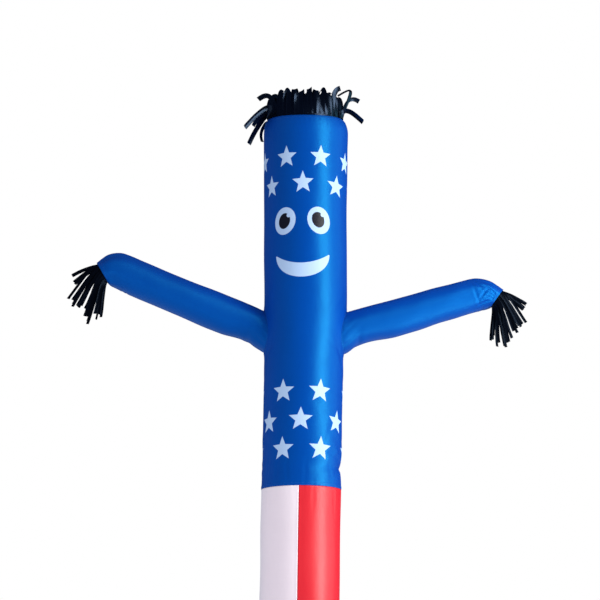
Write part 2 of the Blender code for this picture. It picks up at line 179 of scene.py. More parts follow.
def smooth_rows(rows: Array, at: Array) -> Array:
    """Read a table between its rows, on a smooth curve through all of them.

    Each column is a cubic from row to row, and its slope at a row is that of the straight line
    between the rows before and after it.

    Args:
        rows: The table, with the place in its first column.
        at: Places to read, of any shape.

    Returns:
        The other columns at those places, along a last axis.
    """
    last = len(rows) - 1
    low = np.clip(np.searchsorted(rows[:, 0], at, side="right") - 1, 0, last - 1)
    before, start, end, after = (rows[np.clip(low + k, 0, last)] for k in (-1, 0, 1, 2))
    span = (end - start)[..., :1]
    t = (np.asarray(at)[..., None] - start[..., :1]) / span
    leaving = (end - before)[..., 1:] / (end - before)[..., :1] * span
    arriving = (after - start)[..., 1:] / (after - start)[..., :1] * span
    return (
        (2 * t**3 - 3 * t**2 + 1) * start[..., 1:]
        + (t**3 - 2 * t**2 + t) * leaving
        + (3 * t**2 - 2 * t**3) * end[..., 1:]
        + (t**3 - t**2) * arriving
    )


def unevenness(place: Array | float, kind: float) -> Array:
    """Fixed numbers from -1 to 1 that jump about from place to place, one run per kind."""
    return 2.0 * np.mod(np.sin(np.asarray(place) * 12.9898 + kind * 78.233) * 43758.5453, 1.0) - 1.0


def smooth_step(value: Array, start: float, end: float) -> Array:
    """0 before start, 1 after end, and the cubic 3t^2 - 2t^3 from one to the other."""
    t = np.clip((value - start) / (end - start), 0.0, 1.0)
    return t * t * (3 - 2 * t)


def wrapped(turn: Array) -> Array:
    """An angle brought to between minus and plus half a turn."""
    return np.mod(turn + math.pi, 2 * math.pi) - math.pi


def outward(turn: Array) -> Array:
    """Level directions out of the tube at some turns."""
    return np.stack((np.sin(turn), -np.cos(turn), np.zeros_like(turn)), axis=-1)


def normalised(vectors: Array) -> Array:
    """Vectors of length 1 along the given ones."""
    return vectors / np.linalg.norm(vectors, axis=-1, keepdims=True)


@dataclass(frozen=True)
class Waves:
    """A gently uneven surface: a sum of slanted waves that close up round a tube."""

    seed: int
    height: float
    count: int = 10
    most_round: int = 5
    shortest: float = 0.16
    longest: float = 0.80

    def at(self, turn: Array, along: Array) -> Array:
        """Sum of cosines of (whole waves round x turn + along / wavelength + phase).

        Args:
            turn: Angle round the tube.
            along: Distance along it.

        Returns:
            How far the surface stands out there.
        """
        rng = np.random.default_rng(self.seed)
        total = np.zeros(np.broadcast(turn, along).shape)
        for _ in range(self.count):
            round_count = int(rng.integers(1, self.most_round + 1)) * int(rng.choice((-1, 1)))
            length = rng.uniform(self.shortest, self.longest)
            phase = rng.uniform(0, 2 * math.pi)
            total += np.cos(round_count * turn + 2 * math.pi * along / length + phase)
        return total * self.height / math.sqrt(self.count)


@dataclass(frozen=True)
class Fold:
    """A soft crease on a tube of cloth: a trough between two low ridges, or the reverse.

    Its place is a turn round the tube in degrees and a distance along it. slant is its
    direction in degrees, 0 round the tube and 90 along it.
    """

    turn: float
    along: float
    slant: float
    length: float
    width: float
    depth: float

    def at(self, turn: Array, along: Array, radius: Array | float) -> Array:
        """-depth (1 - q^2) e^(-q^2/2) e^(-l^2/2), q across over width and l lengthwise over length.

        Args:
            turn: Angle round the tube.
            along: Distance along it.
            radius: The tube's radius, which turns an angle into a distance.

        Returns:
            How far the surface stands out there.
        """
        across = wrapped(turn - math.radians(self.turn)) * radius
        up = along - self.along
        c, s = math.cos(math.radians(self.slant)), math.sin(math.radians(self.slant))
        lengthwise = (across * c + up * s) / self.length
        q = (up * c - across * s) / self.width
        return -self.depth * (1 - q**2) * np.exp(-(q**2) / 2 - lengthwise**2 / 2)


def folded(folds: Sequence[Fold], turn: Array, along: Array, radius: Array | float) -> Array:
    """All the folds' offsets added up."""
    return sum(fold.at(turn, along, radius) for fold in folds)


@dataclass
class Surface:
    """A mesh in the making: points, four-cornered faces, and flat maps by name.

    A map holds two numbers for each corner of each face.
    """

    points: Array
    faces: Array
    maps: dict[str, Array] = field(default_factory=dict)

    def joined(self, other: "Surface") -> "Surface":
        """This surface and another as one, with the maps that both have.

        Args:
            other: The surface to add.

        Returns:
            The two as one surface.
        """
        maps = {k: np.concatenate((self.maps[k], other.maps[k])) for k in self.maps if k in other.maps}
        return Surface(
            np.concatenate((self.points, other.points)),
            np.concatenate((self.faces, other.faces + len(self.points))),
            maps,
        )


def spaced(spans: Sequence[tuple[float, float, int]]) -> Array:
    """Places at even steps in each span, given as start, end and steps, and the last span's end."""
    rows = [np.linspace(low, high, count, endpoint=False) for low, high, count in spans]
    return np.concatenate((*rows, (spans[-1][1],)))


def run_along(points: Array) -> Array:
    """Distance along a line of points from its first one, by point; lines may be stacked."""
    steps = np.linalg.norm(np.diff(points, axis=-2), axis=-1)
    return np.concatenate((np.zeros((*steps.shape[:-1], 1)), np.cumsum(steps, axis=-1)), axis=-1)


def repeated(faces: Array, count: int, points: int) -> Array:
    """The faces of many alike bodies, given one body's faces, how many and its points."""
    return (faces[None] + (np.arange(count) * points)[:, None, None]).reshape(-1, 4)


def grid_faces(rows: int, columns: int, closed: bool) -> Array:
    """Faces of a grid of points, row by row, that look outwards from a tube.

    Args:
        rows: Points along the tube.
        columns: Points round it.
        closed: Whether the last column joins the first.

    Returns:
        Four point numbers for each face.
    """
    first = np.arange(rows - 1)[:, None] * columns
    after = first + columns
    j = np.arange(columns if closed else columns - 1)[None, :]
    k = (j + 1) % columns
    return np.stack((first + j, first + k, after + k, after + j), axis=-1).reshape(-1, 4)


def grid_map(across: Array, along: Array) -> Array:
    """The corners of a grid's faces on a flat map.

    Args:
        across: The first number of every point, with one column more than a closed grid has.
        along: The second number, of the same shape.

    Returns:
        Two numbers for each corner of each face, in the order of grid_faces.
    """
    flat = np.stack((across, along), axis=-1)
    corners = np.stack((flat[:-1, :-1], flat[:-1, 1:], flat[1:, 1:], flat[1:, :-1]), axis=2)
    return corners.reshape(-1, 4, 2)


def make_object(name: str, surface: Surface, sharp: float = 50.0) -> bpy.types.Object:
    """Put a surface into a mesh object at the origin, shaded smooth but for sharp edges.

    Args:
        name: The object's name.
        surface: Its points, faces and maps.
        sharp: Angle in degrees past which an edge stays sharp.

    Returns:
        The object, linked to the scene.
    """
    mesh = bpy.data.meshes.new(name)
    count = len(surface.faces)
    mesh.vertices.add(len(surface.points))
    mesh.vertices.foreach_set("co", surface.points.astype(np.float32).ravel())
    mesh.loops.add(4 * count)
    mesh.loops.foreach_set("vertex_index", surface.faces.astype(np.int32).ravel())
    mesh.polygons.add(count)
    mesh.polygons.foreach_set("loop_start", np.arange(0, 4 * count, 4, dtype=np.int32))
    mesh.update(calc_edges=True)
    for label, corners in surface.maps.items():
        layer = mesh.uv_layers.new(name=label)
        layer.data.foreach_set("uv", corners.astype(np.float32).ravel())
    mesh.shade_smooth()
    mesh.set_sharp_from_angle(angle=math.radians(sharp))
    made = bpy.data.objects.new(name, mesh)
    bpy.context.scene.collection.objects.link(made)
    return made


def give_wall(piece: bpy.types.Object, thickness: float) -> None:
    """Give an open skin the cloth's thickness inwards.

    Args:
        piece: The skin.
        thickness: The cloth's thickness.
    """
    wall = piece.modifiers.new("wall", "SOLIDIFY")
    wall.thickness = thickness
    wall.offset = -1.0
    wall.use_even_offset = True


# ---------------------------------------------------------------- finishes


def mix_colours(
    tree: bpy.types.NodeTree, first: Paint, second: Paint, share: bpy.types.NodeSocket
) -> bpy.types.NodeSocket:
    """A colour that goes from the first to the second as share goes from 0 to 1.

    Args:
        tree: The node tree to add to.
        first: A colour, or the socket that gives it.
        second: Another.
        share: The socket that gives the second one's share.

    Returns:
        The socket that gives the mixed colour.
    """
    node = tree.nodes.new("ShaderNodeMix")
    node.data_type = "RGBA"
    tree.links.new(share, node.inputs[0])
    for slot, value in ((node.inputs[6], first), (node.inputs[7], second)):
        if isinstance(value, tuple):
            slot.default_value = (*value, 1.0)
        else:
            tree.links.new(value, slot)
    return node.outputs[2]


class Signal:
    """A number that a material's nodes work out, with the usual signs of arithmetic."""

    def __init__(self, tree: bpy.types.NodeTree, socket: bpy.types.NodeSocket) -> None:
        """Wrap a socket of a node tree."""
        self.tree = tree
        self.socket = socket

    def maths(self, operation: str, *others: "Signal | float", clamp: bool = False) -> "Signal":
        """Run this number and others through a Math node.

        Args:
            operation: The Math node's operation.
            others: The operation's other inputs.
            clamp: Whether the result is kept from 0 to 1.

        Returns:
            The result.
        """
        node = self.tree.nodes.new("ShaderNodeMath")
        node.operation = operation
        node.use_clamp = clamp
        for slot, value in zip(node.inputs, (self, *others)):
            if isinstance(value, Signal):
                self.tree.links.new(value.socket, slot)
            else:
                slot.default_value = value
        return Signal(self.tree, node.outputs[0])

    def __add__(self, other: "Signal | float") -> "Signal":
        """Sum."""
        return self.maths("ADD", other)

    def __sub__(self, other: "Signal | float") -> "Signal":
        """Difference."""
        return self.maths("SUBTRACT", other)

    def __mul__(self, other: "Signal | float") -> "Signal":
        """Product."""
        return self.maths("MULTIPLY", other)

    def __truediv__(self, other: "Signal | float") -> "Signal":
        """Quotient."""
        return self.maths("DIVIDE", other)

    def inside(self, softness: float) -> "Signal":
        """1 where this distance is below 0, 0 where it is above, soft over the given width."""
        return self.maths("MULTIPLY_ADD", -1.0 / softness, 0.5, clamp=True)


class MaterialGraph:
    """A Principled material and the few kinds of node that the finishes need."""

    def __init__(self, name: str) -> None:
        """Make the material.

        Args:
            name: The material's name.
        """
        self.material = bpy.data.materials.new(name)
        self.material.use_nodes = True
        self.tree = self.material.node_tree
        self.shader = self.tree.nodes["Principled BSDF"]
        self.normal: bpy.types.NodeSocket | None = None

    def brushed(self, amount: float) -> None:
        """Draw mirrored light out along the piece's length, the second axis of the cloth map.

        Args:
            amount: From 0, round, to 1, fully drawn out.
        """
        node = self.tree.nodes.new("ShaderNodeTangent")
        node.direction_type = "UV_MAP"
        node.uv_map = "cloth"
        self.tree.links.new(node.outputs["Tangent"], self.shader.inputs["Tangent"])
        self.fixed(Anisotropic=amount, Anisotropic_Rotation=0.25)

    def fixed(self, **values: float | Colour) -> None:
        """Set the shader's own sockets, named with underscores for spaces.

        Args:
            values: Values by socket.
        """
        for key, value in values.items():
            socket = self.shader.inputs[key.replace("_", " ")]
            socket.default_value = (*value, 1.0) if isinstance(value, tuple) else value

    def map(self, name: str) -> tuple[Signal, Signal]:
        """The two numbers of one of the piece's flat maps.

        Args:
            name: The map's name.

        Returns:
            The number across and the number along.
        """
        node = self.tree.nodes.new("ShaderNodeUVMap")
        node.uv_map = name
        parts = self.tree.nodes.new("ShaderNodeSeparateXYZ")
        self.tree.links.new(node.outputs["UV"], parts.inputs[0])
        return Signal(self.tree, parts.outputs["X"]), Signal(self.tree, parts.outputs["Y"])

    def noise(self, scale: float, detail: float, stretch: Point = (1.0, 1.0, 1.0)) -> Signal:
        """Noise on the piece's own coordinates.

        Args:
            scale: Cells per metre.
            detail: Octaves.
            stretch: Factors on the three axes.

        Returns:
            The noise, from 0 to 1.
        """
        where = self.tree.nodes.new("ShaderNodeTexCoord")
        mapping = self.tree.nodes.new("ShaderNodeMapping")
        mapping.inputs["Scale"].default_value = stretch
        node = self.tree.nodes.new("ShaderNodeTexNoise")
        node.inputs["Scale"].default_value = scale
        node.inputs["Detail"].default_value = detail
        self.tree.links.new(where.outputs["Object"], mapping.inputs["Vector"])
        self.tree.links.new(mapping.outputs["Vector"], node.inputs["Vector"])
        return Signal(self.tree, node.outputs[0])

    def blend(self, first: Paint, second: Paint, share: Signal) -> bpy.types.NodeSocket:
        """A colour that goes from the first to the second as share goes from 0 to 1."""
        return mix_colours(self.tree, first, second, share.socket)

    def raise_by(self, height: Signal, distance: float, strength: float) -> None:
        """Add a bump to the normal: height from 0 to 1 times distance in metres.

        Args:
            height: What to raise, from 0 to 1.
            distance: How far, in metres.
            strength: Share of the bump that is used.
        """
        node = self.tree.nodes.new("ShaderNodeBump")
        node.inputs["Strength"].default_value = strength
        node.inputs["Distance"].default_value = distance
        self.tree.links.new(height.socket, node.inputs["Height"])
        if self.normal is not None:
            self.tree.links.new(self.normal, node.inputs["Normal"])
        self.normal = node.outputs["Normal"]

    def finish(self, colour: bpy.types.NodeSocket, **varied: Signal) -> bpy.types.Material:
        """Join the colour, the normal and whatever else varies to the shader.

        Args:
            colour: The colour that varies over the surface.
            varied: Signals by the shader's own socket, named with underscores for spaces.

        Returns:
            The material.
        """
        self.tree.links.new(colour, self.shader.inputs["Base Color"])
        for key, signal in varied.items():
            self.tree.links.new(signal.socket, self.shader.inputs[key.replace("_", " ")])
        if self.normal is not None:
            self.tree.links.new(self.normal, self.shader.inputs["Normal"])
        return self.material


@dataclass(frozen=True)
class NylonFinish:
    """Thin satin nylon: a fine plain weave, faint crinkles, and a soft sheen."""

    name: str
    colour: Colour
    deep: Colour
    roughness: float = 0.42
    gloss: float = 0.30
    gloss_tint: Colour = (1.0, 1.0, 1.0)
    metallic: float = 0.0
    sheen: float = 0.0
    weave_pitch: float = 0.0011
    brushing: float = 0.65

    def start(self) -> MaterialGraph:
        """A material with the weave's and the crinkles' relief and the sheen.

        The weave is half of (1 + sine of the place across x sine of the place along), in weave pitches.

        Returns:
            The graph, still without colour.
        """
        graph = MaterialGraph(self.name)
        graph.fixed(
            Sheen_Weight=self.sheen,
            Sheen_Roughness=0.45,
            Specular_IOR_Level=self.gloss,
            Specular_Tint=self.gloss_tint,
            Metallic=self.metallic,
        )
        graph.brushed(self.brushing)
        across, along = graph.map("cloth")
        threads = across * (2 * math.pi / self.weave_pitch)
        shots = along * (2 * math.pi / self.weave_pitch)
        weave = threads.maths("SINE") * shots.maths("SINE") * 0.5 + 0.5
        crinkle = graph.noise(scale=34.0, detail=3.0, stretch=(1.0, 1.0, 0.45))
        graph.raise_by(crinkle, distance=0.0011, strength=0.55)
        graph.raise_by(weave, distance=0.00010, strength=0.35)
        return graph

    def ground(self, graph: MaterialGraph) -> bpy.types.NodeSocket:
        """The cloth's own colour, deeper in cloudy patches and along some threads.

        The deep colour's share is 1.6 (0.7 cloud + 0.3 slub) - 0.3, kept from 0 to 1.

        Args:
            graph: The material's graph.

        Returns:
            The socket that gives the colour.
        """
        cloud = graph.noise(scale=7.0, detail=2.0)
        slub = graph.noise(scale=160.0, detail=1.0, stretch=(0.08, 0.08, 1.0))
        share = (cloud * 0.7 + slub * 0.3).maths("MULTIPLY_ADD", 1.6, -0.3, clamp=True)
        return graph.blend(self.colour, self.deep, share)

    def worn(self, graph: MaterialGraph) -> Signal:
        """Roughness that wanders a little about its mean."""
        return graph.noise(scale=18.0, detail=2.0).maths("MULTIPLY_ADD", 0.10, self.roughness - 0.05)

    def make(self) -> bpy.types.Material:
        """The plain cloth's material."""
        graph = self.start()
        return graph.finish(self.ground(graph), Roughness=self.worn(graph))


@dataclass(frozen=True)
class PrintedFinish(NylonFinish):
    """Nylon with stars and a smiling face printed on it.

    The star map holds a corner's place from its nearest star's middle, in star radii. The face
    map holds its place round the tube and up, in metres, from a point between the eyes.
    """

    white: Colour = (0.478, 0.645, 0.890)
    black: Colour = (0.006, 0.006, 0.013)
    star_waist: float = 0.435  # a star's inner corners, in star radii
    eye_apart: float = 0.0645
    eye_half: Pair = (0.0425, 0.0506)
    pupil_half: Pair = (0.0232, 0.0292)
    eye_lean: float = math.radians(19.0)
    glint_half: Pair = (0.0074, 0.0074)
    mouth_drop: float = 0.1235  # from the eyes' level to the middle of the lip's ellipse
    mouth_half: Pair = (0.1045, 0.0835)
    mouth_top: float = 0.1560  # from the eyes' level to the lowest point of its upper edge
    mouth_bend: float = 3.05
    mouth_tilt: float = 0.006
    mouth_aside: float = 0.001
    mouth_rounding: float = 0.008
    star_size: float = 0.042
    pupils: tuple[tuple[float, float, float, float], ...] = (
        (-0.0655, 0.000, -0.0480, 0.0195),
        (0.0610, 0.002, 0.0775, 0.0210),
    )  # the middle of each pupil, and of its glint
    edge: float = 0.0009  # how soft the print's edges are
    ink_gloss: float = 0.40
    ink_fading: float = 0.93

    def star(self, graph: MaterialGraph) -> Signal:
        """1 inside a five-pointed star.

        The angle from the nearest point of the star folds the star onto one half point. Its
        edge is the line from the tip to the inner corner, and the sign of the distance from
        that line tells in from out.

        Args:
            graph: The material's graph.

        Returns:
            1 inside, 0 outside.
        """
        x, y = graph.map("star")
        fifth = 2 * math.pi / 5
        turns = x.maths("ARCTAN2", y) / fifth
        fold = ((turns - turns.maths("ROUND")) * fifth).maths("ABSOLUTE")
        far = (x * x + y * y).maths("SQRT")
        run = 1 - self.star_waist * math.cos(fifth / 2)
        rise = self.star_waist * math.sin(fifth / 2)
        size = math.hypot(run, rise)
        lengthwise = (far * fold.maths("COSINE") - 1.0) * (rise / size)
        sideways = far * fold.maths("SINE") * (run / size)
        return (lengthwise + sideways).inside(self.edge / self.star_size)

    def oval(self, x: Signal, y: Signal, middle: Pair, half: Pair, lean: float = 0.0) -> Signal:
        """About how far outside an oval a place is, in metres, below 0 inside.

        It is the root of the squares of the oval's own two coordinates over its halves, less 1,
        times the shorter half.

        Args:
            x: The place, to the right.
            y: The place, upwards.
            middle: The oval's middle.
            half: Its half width and half height.
            lean: How far it is turned clockwise.

        Returns:
            The distance.
        """
        dx, dy = x - middle[0], y - middle[1]
        c, s = math.cos(lean), math.sin(lean)
        u = (dx * c - dy * s) / half[0]
        v = (dx * s + dy * c) / half[1]
        return ((u * u + v * v).maths("SQRT") - 1.0) * min(half)

    def mouth(self, x: Signal, y: Signal) -> Signal:
        """1 inside the smile: inside an oval and below a parabola, with its corners rounded.

        The parabola's height is bend x^2 - top, measured from the eyes' level.

        Args:
            x: The place on the face map, to the right.
            y: The place upwards.

        Returns:
            1 inside, 0 outside.
        """
        level = y - x * self.mouth_tilt
        middle = (self.mouth_aside, -self.mouth_drop)
        lip = self.oval(x, level, middle, self.mouth_half)
        top = level - (x * x * self.mouth_bend - self.mouth_top)
        return lip.maths("SMOOTH_MAX", top, self.mouth_rounding).inside(self.edge)

    def make(self) -> bpy.types.Material:
        """The printed cloth's material.

        Returns:
            The material.
        """
        graph = self.start()
        x, y = graph.map("face")
        white = self.star(graph).maths("MAXIMUM", self.mouth(x, y))
        black: Signal | None = None
        for sign, (px, py, gx, gy) in zip((-1, 1), self.pupils):
            lean = -sign * self.eye_lean
            eye = self.oval(x, y, (sign * self.eye_apart, 0.0), self.eye_half, lean).inside(self.edge)
            white = white.maths("MAXIMUM", eye)
            pupil = self.oval(x, y, (px, py), self.pupil_half, lean).inside(self.edge)
            glint = self.oval(x, y, (gx, gy), self.glint_half).inside(self.edge)
            pupil = pupil * glint.maths("MULTIPLY_ADD", -1.0, 1.0)
            black = pupil if black is None else black.maths("MAXIMUM", pupil)
        ink = graph.noise(scale=9.0, detail=2.0)
        off_white = tuple(c * self.ink_fading for c in self.white)
        colour = graph.blend(self.ground(graph), graph.blend(self.white, off_white, ink), white)
        printed = white.maths("MAXIMUM", black)
        tint = graph.blend(self.gloss_tint, (1.0, 1.0, 1.0), printed)
        duller = self.ink_gloss - self.gloss
        return graph.finish(
            graph.blend(colour, self.black, black),
            Roughness=self.worn(graph),
            Specular_Tint=Signal(graph.tree, tint),
            Specular_IOR_Level=printed.maths("MULTIPLY_ADD", duller, self.gloss),
            Metallic=printed.maths("MULTIPLY_ADD", -self.metallic, self.metallic),
        )


@dataclass(frozen=True)
class RibbonFinish:
    """Black satin ribbon with fine ribs across it, and a painted glint: a lighter blue-black painted along
    streaks and near its edges.
    """

    name: str
    colour: Colour
    # the painted glint: a lighter blue-black painted along streaks and near the edges
    glint: Colour
    gloss: float = 0.09
    gloss_tint: Colour = (0.40, 0.62, 1.0)
    roughness: float = 0.29
    rib_pitch: float = 0.0009
    painted_edge_glint: Pair = (900.0, -4.2)  # slope over the distance from the middle, and offset, of the painted glint near the edges

    def make(self) -> bpy.types.Material:
        """The ribbon's material: ribs across, faint streaks along, and a painted glint on the streaks and
        near the edges.

        Returns:
            The material.
        """
        graph = MaterialGraph(self.name)
        graph.fixed(Specular_IOR_Level=self.gloss, Specular_Tint=self.gloss_tint)
        across, along = graph.map("cloth")
        ribs = (along * (2 * math.pi / self.rib_pitch)).maths("SINE") * 0.5 + 0.5
        # painted glint near the ribbon's edges: 0 in the middle, 1 at the edges
        painted_edge_glint = across.maths("ABSOLUTE").maths("MULTIPLY_ADD", *self.painted_edge_glint, clamp=True)
        streak_and_painted_glint = graph.noise(scale=220.0, detail=2.0, stretch=(1.0, 1.0, 0.1))
        graph.raise_by(streak_and_painted_glint, distance=0.0003, strength=0.5)
        graph.raise_by(ribs, distance=0.00008, strength=0.4)
        # share of the painted glint colour: 0.6 of the streaks' noise, or half near the edges, whichever
        # is more
        share = (streak_and_painted_glint * 0.6).maths("MAXIMUM", painted_edge_glint * 0.5)
        rough = graph.noise(scale=30.0, detail=2.0).maths("MULTIPLY_ADD", 0.14, self.roughness - 0.07)
        return graph.finish(graph.blend(self.colour, self.glint, share), Roughness=rough)


@dataclass(frozen=True)
class ThreadFinish:
    """Sewing thread, twisted, a shade off the cloth it holds."""

    name: str
    colour: Colour
    deep: Colour
    plies: Pair = (6.0, 9000.0)  # how fast they turn, round a stitch and along it

    def make(self) -> bpy.types.Material:
        """The thread's material: light and dark plies that slant along each stitch.

        Returns:
            The material.
        """
        graph = MaterialGraph(self.name)
        graph.fixed(Sheen_Weight=0.15, Sheen_Roughness=0.4, Specular_IOR_Level=0.4)
        around, along = graph.map("cloth")
        plies = (around * self.plies[0] + along * self.plies[1]).maths("SINE") * 0.5 + 0.5
        graph.raise_by(plies, distance=0.00006, strength=0.5)
        rough = graph.noise(scale=90.0, detail=1.0).maths("MULTIPLY_ADD", 0.12, 0.44)
        return graph.finish(graph.blend(self.colour, self.deep, plies * 0.7), Roughness=rough)


@dataclass(frozen=True)
class FloorFinish:
    """A plain pale studio floor."""

    name: str = "studio_floor"
    colour: Colour = (0.90, 0.90, 0.91)
    worn: Colour = (0.87, 0.87, 0.89)

    def make(self) -> bpy.types.Material:
        """The floor's material.

        Returns:
            The material.
        """
        graph = MaterialGraph(self.name)
        graph.fixed(Specular_IOR_Level=0.2)
        rough = graph.noise(scale=4.0, detail=2.0).maths("MULTIPLY_ADD", 0.1, 0.75)
        cloud = graph.noise(scale=1.3, detail=3.0)
        return graph.finish(graph.blend(self.colour, self.worn, cloud), Roughness=rough)


BLUE = (0.0003, 0.055, 0.405)
DEEP_BLUE = (0.0003, 0.048, 0.365)
BLUE_SATIN = {"roughness": 0.50, "gloss": 1.0, "gloss_tint": (0.04, 1.0, 1.0), "metallic": 0.12}
BLUE_PRINT = PrintedFinish("printed_blue_nylon", BLUE, DEEP_BLUE, **BLUE_SATIN)
BLUE_NYLON = NylonFinish("blue_nylon", BLUE, DEEP_BLUE, **BLUE_SATIN)
WHITE_NYLON = NylonFinish(
    "white_nylon", (0.920, 0.795, 0.835), (0.890, 0.765, 0.805), roughness=0.60, sheen=0.80
)
RED_NYLON = NylonFinish(
    "red_nylon",
    (0.730, 0.010, 0.021),
    (0.690, 0.008, 0.018),
    roughness=0.44,
    gloss=0.70,
    gloss_tint=(1.0, 0.9, 0.9),
)
# a lighter blue-black painted on the ribbons as glints
RIBBON_PAINTED_GLINT = (0.003, 0.005, 0.011)
HAND_RIBBON = RibbonFinish("hand_ribbon", (0.0010, 0.0012, 0.0022), RIBBON_PAINTED_GLINT)
HAIR_RIBBON = RibbonFinish(
    "hair_ribbon", (0.0008, 0.0010, 0.0018), RIBBON_PAINTED_GLINT, gloss=0.52, roughness=0.22
)
BLUE_THREAD = ThreadFinish("blue_thread", (0.010, 0.110, 0.480), (0.004, 0.060, 0.320))
WHITE_THREAD = ThreadFinish("white_thread", (0.760, 0.750, 0.800), (0.560, 0.550, 0.620))
RED_THREAD = ThreadFinish("red_thread", (0.700, 0.040, 0.060), (0.480, 0.020, 0.035))


# ---------------------------------------------------------------- sewing


@dataclass(frozen=True)
class StitchRow:
    """Lockstitches along a path: rounded bars that lie on the cloth, a little sunk in."""

    pitch: float = 0.0046
    length: float = 0.0034
    radius: float = 0.00042
    sides: int = 4
    steps: int = 4  # along a bar
    blunt: float = 0.25  # girth of its ends, as a share of the middle's
    arch: float = 0.25  # how far its middle stands up, as a share of its radius

    def bars(self, path: Array, normals: Array) -> Surface:
        """Lay stitches along a path.

        A bar's girth is a half sine to the power 0.6 along its length, carried round its middle
        line. The bars stand at even distances along the path, turned to its direction there.

        Args:
            path: Points of the path on the cloth's face.
            normals: The cloth's outward directions there.

        Returns:
            All the bars as one surface.
        """
        run = run_along(path)
        count = int(run[-1] / self.pitch)
        at = (np.arange(count) + 0.5) * run[-1] / count
        middle, ahead, up = (
            np.stack([np.interp(at + shift, run, source[:, k]) for k in range(3)], axis=-1)
            for source, shift in ((path, 0.0), (path, self.pitch / 4), (normals, 0.0))
        )
        heading = normalised(ahead - middle)
        up = normalised(up - heading * (up * heading).sum(-1, keepdims=True))
        side = np.cross(up, heading)
        t = np.linspace(0.0, 1.0, self.steps + 1)
        girth = self.radius * np.maximum(np.sin(math.pi * t) ** 0.6, self.blunt)
        turn = 2 * math.pi * (np.arange(self.sides) + 0.5) / self.sides
        lengthwise = (t - 0.5) * self.length
        round_side = girth[:, None] * np.cos(turn)
        arched = self.radius * self.arch * np.sin(math.pi * t)
        round_up = girth[:, None] * np.sin(turn) + arched[:, None]
        points = (
            middle[:, None, None]
            + heading[:, None, None] * lengthwise[None, :, None, None]
            + side[:, None, None] * round_side[None, :, :, None]
            + up[:, None, None] * round_up[None, :, :, None]
        )
        rows, columns = points.shape[1:3]
        last = rows * columns - 1
        caps = np.array(((0, 1, 2, 3), (last, last - 1, last - 2, last - 3)))
        one = np.concatenate((grid_faces(rows, columns, closed=True)[:, ::-1], caps))
        faces = repeated(one, count, rows * columns)
        corner = np.array([(p % columns, p // columns) for p in one.ravel()], dtype=float)
        corner = corner.reshape(-1, 4, 2) * (2 * math.pi / columns, self.length / rows)
        return Surface(points.reshape(-1, 3), faces, {"cloth": np.tile(corner, (count, 1, 1))})


def surface_path(place: Callable[[Array, Array], Array], u: Array, v: Array) -> tuple[Array, Array]:
    """A path on a surface, with the surface's outward directions along it.

    The outward direction is the cross product of two short steps on the surface, one along
    each of its parameters.

    Args:
        place: The surface, as a function of turn and distance along.
        u: Turns along the path.
        v: Distances along the path.

    Returns:
        Points and directions.
    """
    turned, moved = 0.004, 0.0004
    round_it = place(u + turned, v) - place(u - turned, v)
    along_it = place(u, v + moved) - place(u, v - moved)
    return place(u, v), normalised(np.cross(round_it, along_it))


def row_round(first: float, last: float, height: float, points: int) -> tuple[Array, Array]:
    """Turns and distances along a row of stitches that goes round a tube at one height."""
    turn = np.linspace(first, last, points)
    return turn, np.full_like(turn, height)


def row_up(turn: float, first: float, last: float, points: int) -> tuple[Array, Array]:
    """Turns and distances along a row of stitches that goes along a tube at one turn."""
    along = np.linspace(first, last, points)
    return np.full_like(along, turn), along


def sew(
    name: str, paths: Sequence[tuple[Array, Array]], thread: bpy.types.Material, slot: str
) -> bpy.types.Object:
    """Make one piece of all the stitches along some paths.

    Args:
        name: The piece's name.
        paths: Points and outward directions of each path.
        thread: The thread's material.
        slot: Not used.

    Returns:
        The piece, riding on the part.
    """
    row = StitchRow()
    whole = row.bars(*paths[0])
    for path in paths[1:]:
        whole = whole.joined(row.bars(*path))
    piece = make_object(name, whole, sharp=60.0)
    piece.data.materials.append(thread)
    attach(piece, BODY)
    LOG.info("%s: %d faces", name, len(whole.faces))
    return piece


@dataclass(kw_only=True)
class SewnCloth:
    """What the cloth panels share: a skin with a thickness, its stitches and its finish."""

    label: str  # what the names of its pieces begin with
    tube: "TubeShape"
    finish: NylonFinish = BLUE_NYLON
    thread: ThreadFinish = BLUE_THREAD
    slot: str = "blue_cloth"
    wall: float = 0.0009
    piece: bpy.types.Object | None = None
    stitches: bpy.types.Object | None = None

    def surface(self) -> Surface:
        """The cloth's outer face."""
        raise NotImplementedError

    def stitch_rows(self) -> list[tuple[Array, Array]]:
        """Turns and distances along every row of stitches."""
        raise NotImplementedError

    def place(self, turn: Array, along: Array) -> Array:
        """A point of the finished cloth's outer face, which is the tube's for most cloths."""
        return self.tube.place(turn, along)

    def build(self) -> None:
        """Make the cloth and sew it."""
        self.piece = make_object(f"{self.label}_cloth", self.surface())
        give_wall(self.piece, self.wall)
        paths = [surface_path(self.place, *row) for row in self.stitch_rows()]
        self.stitches = sew(f"{self.label}_stitches", paths, self.thread.make(), self.slot)

    def dress(self) -> None:
        """Give the cloth its finish."""
        self.piece.data.materials.append(self.finish.make())


# ---------------------------------------------------------------- the tube


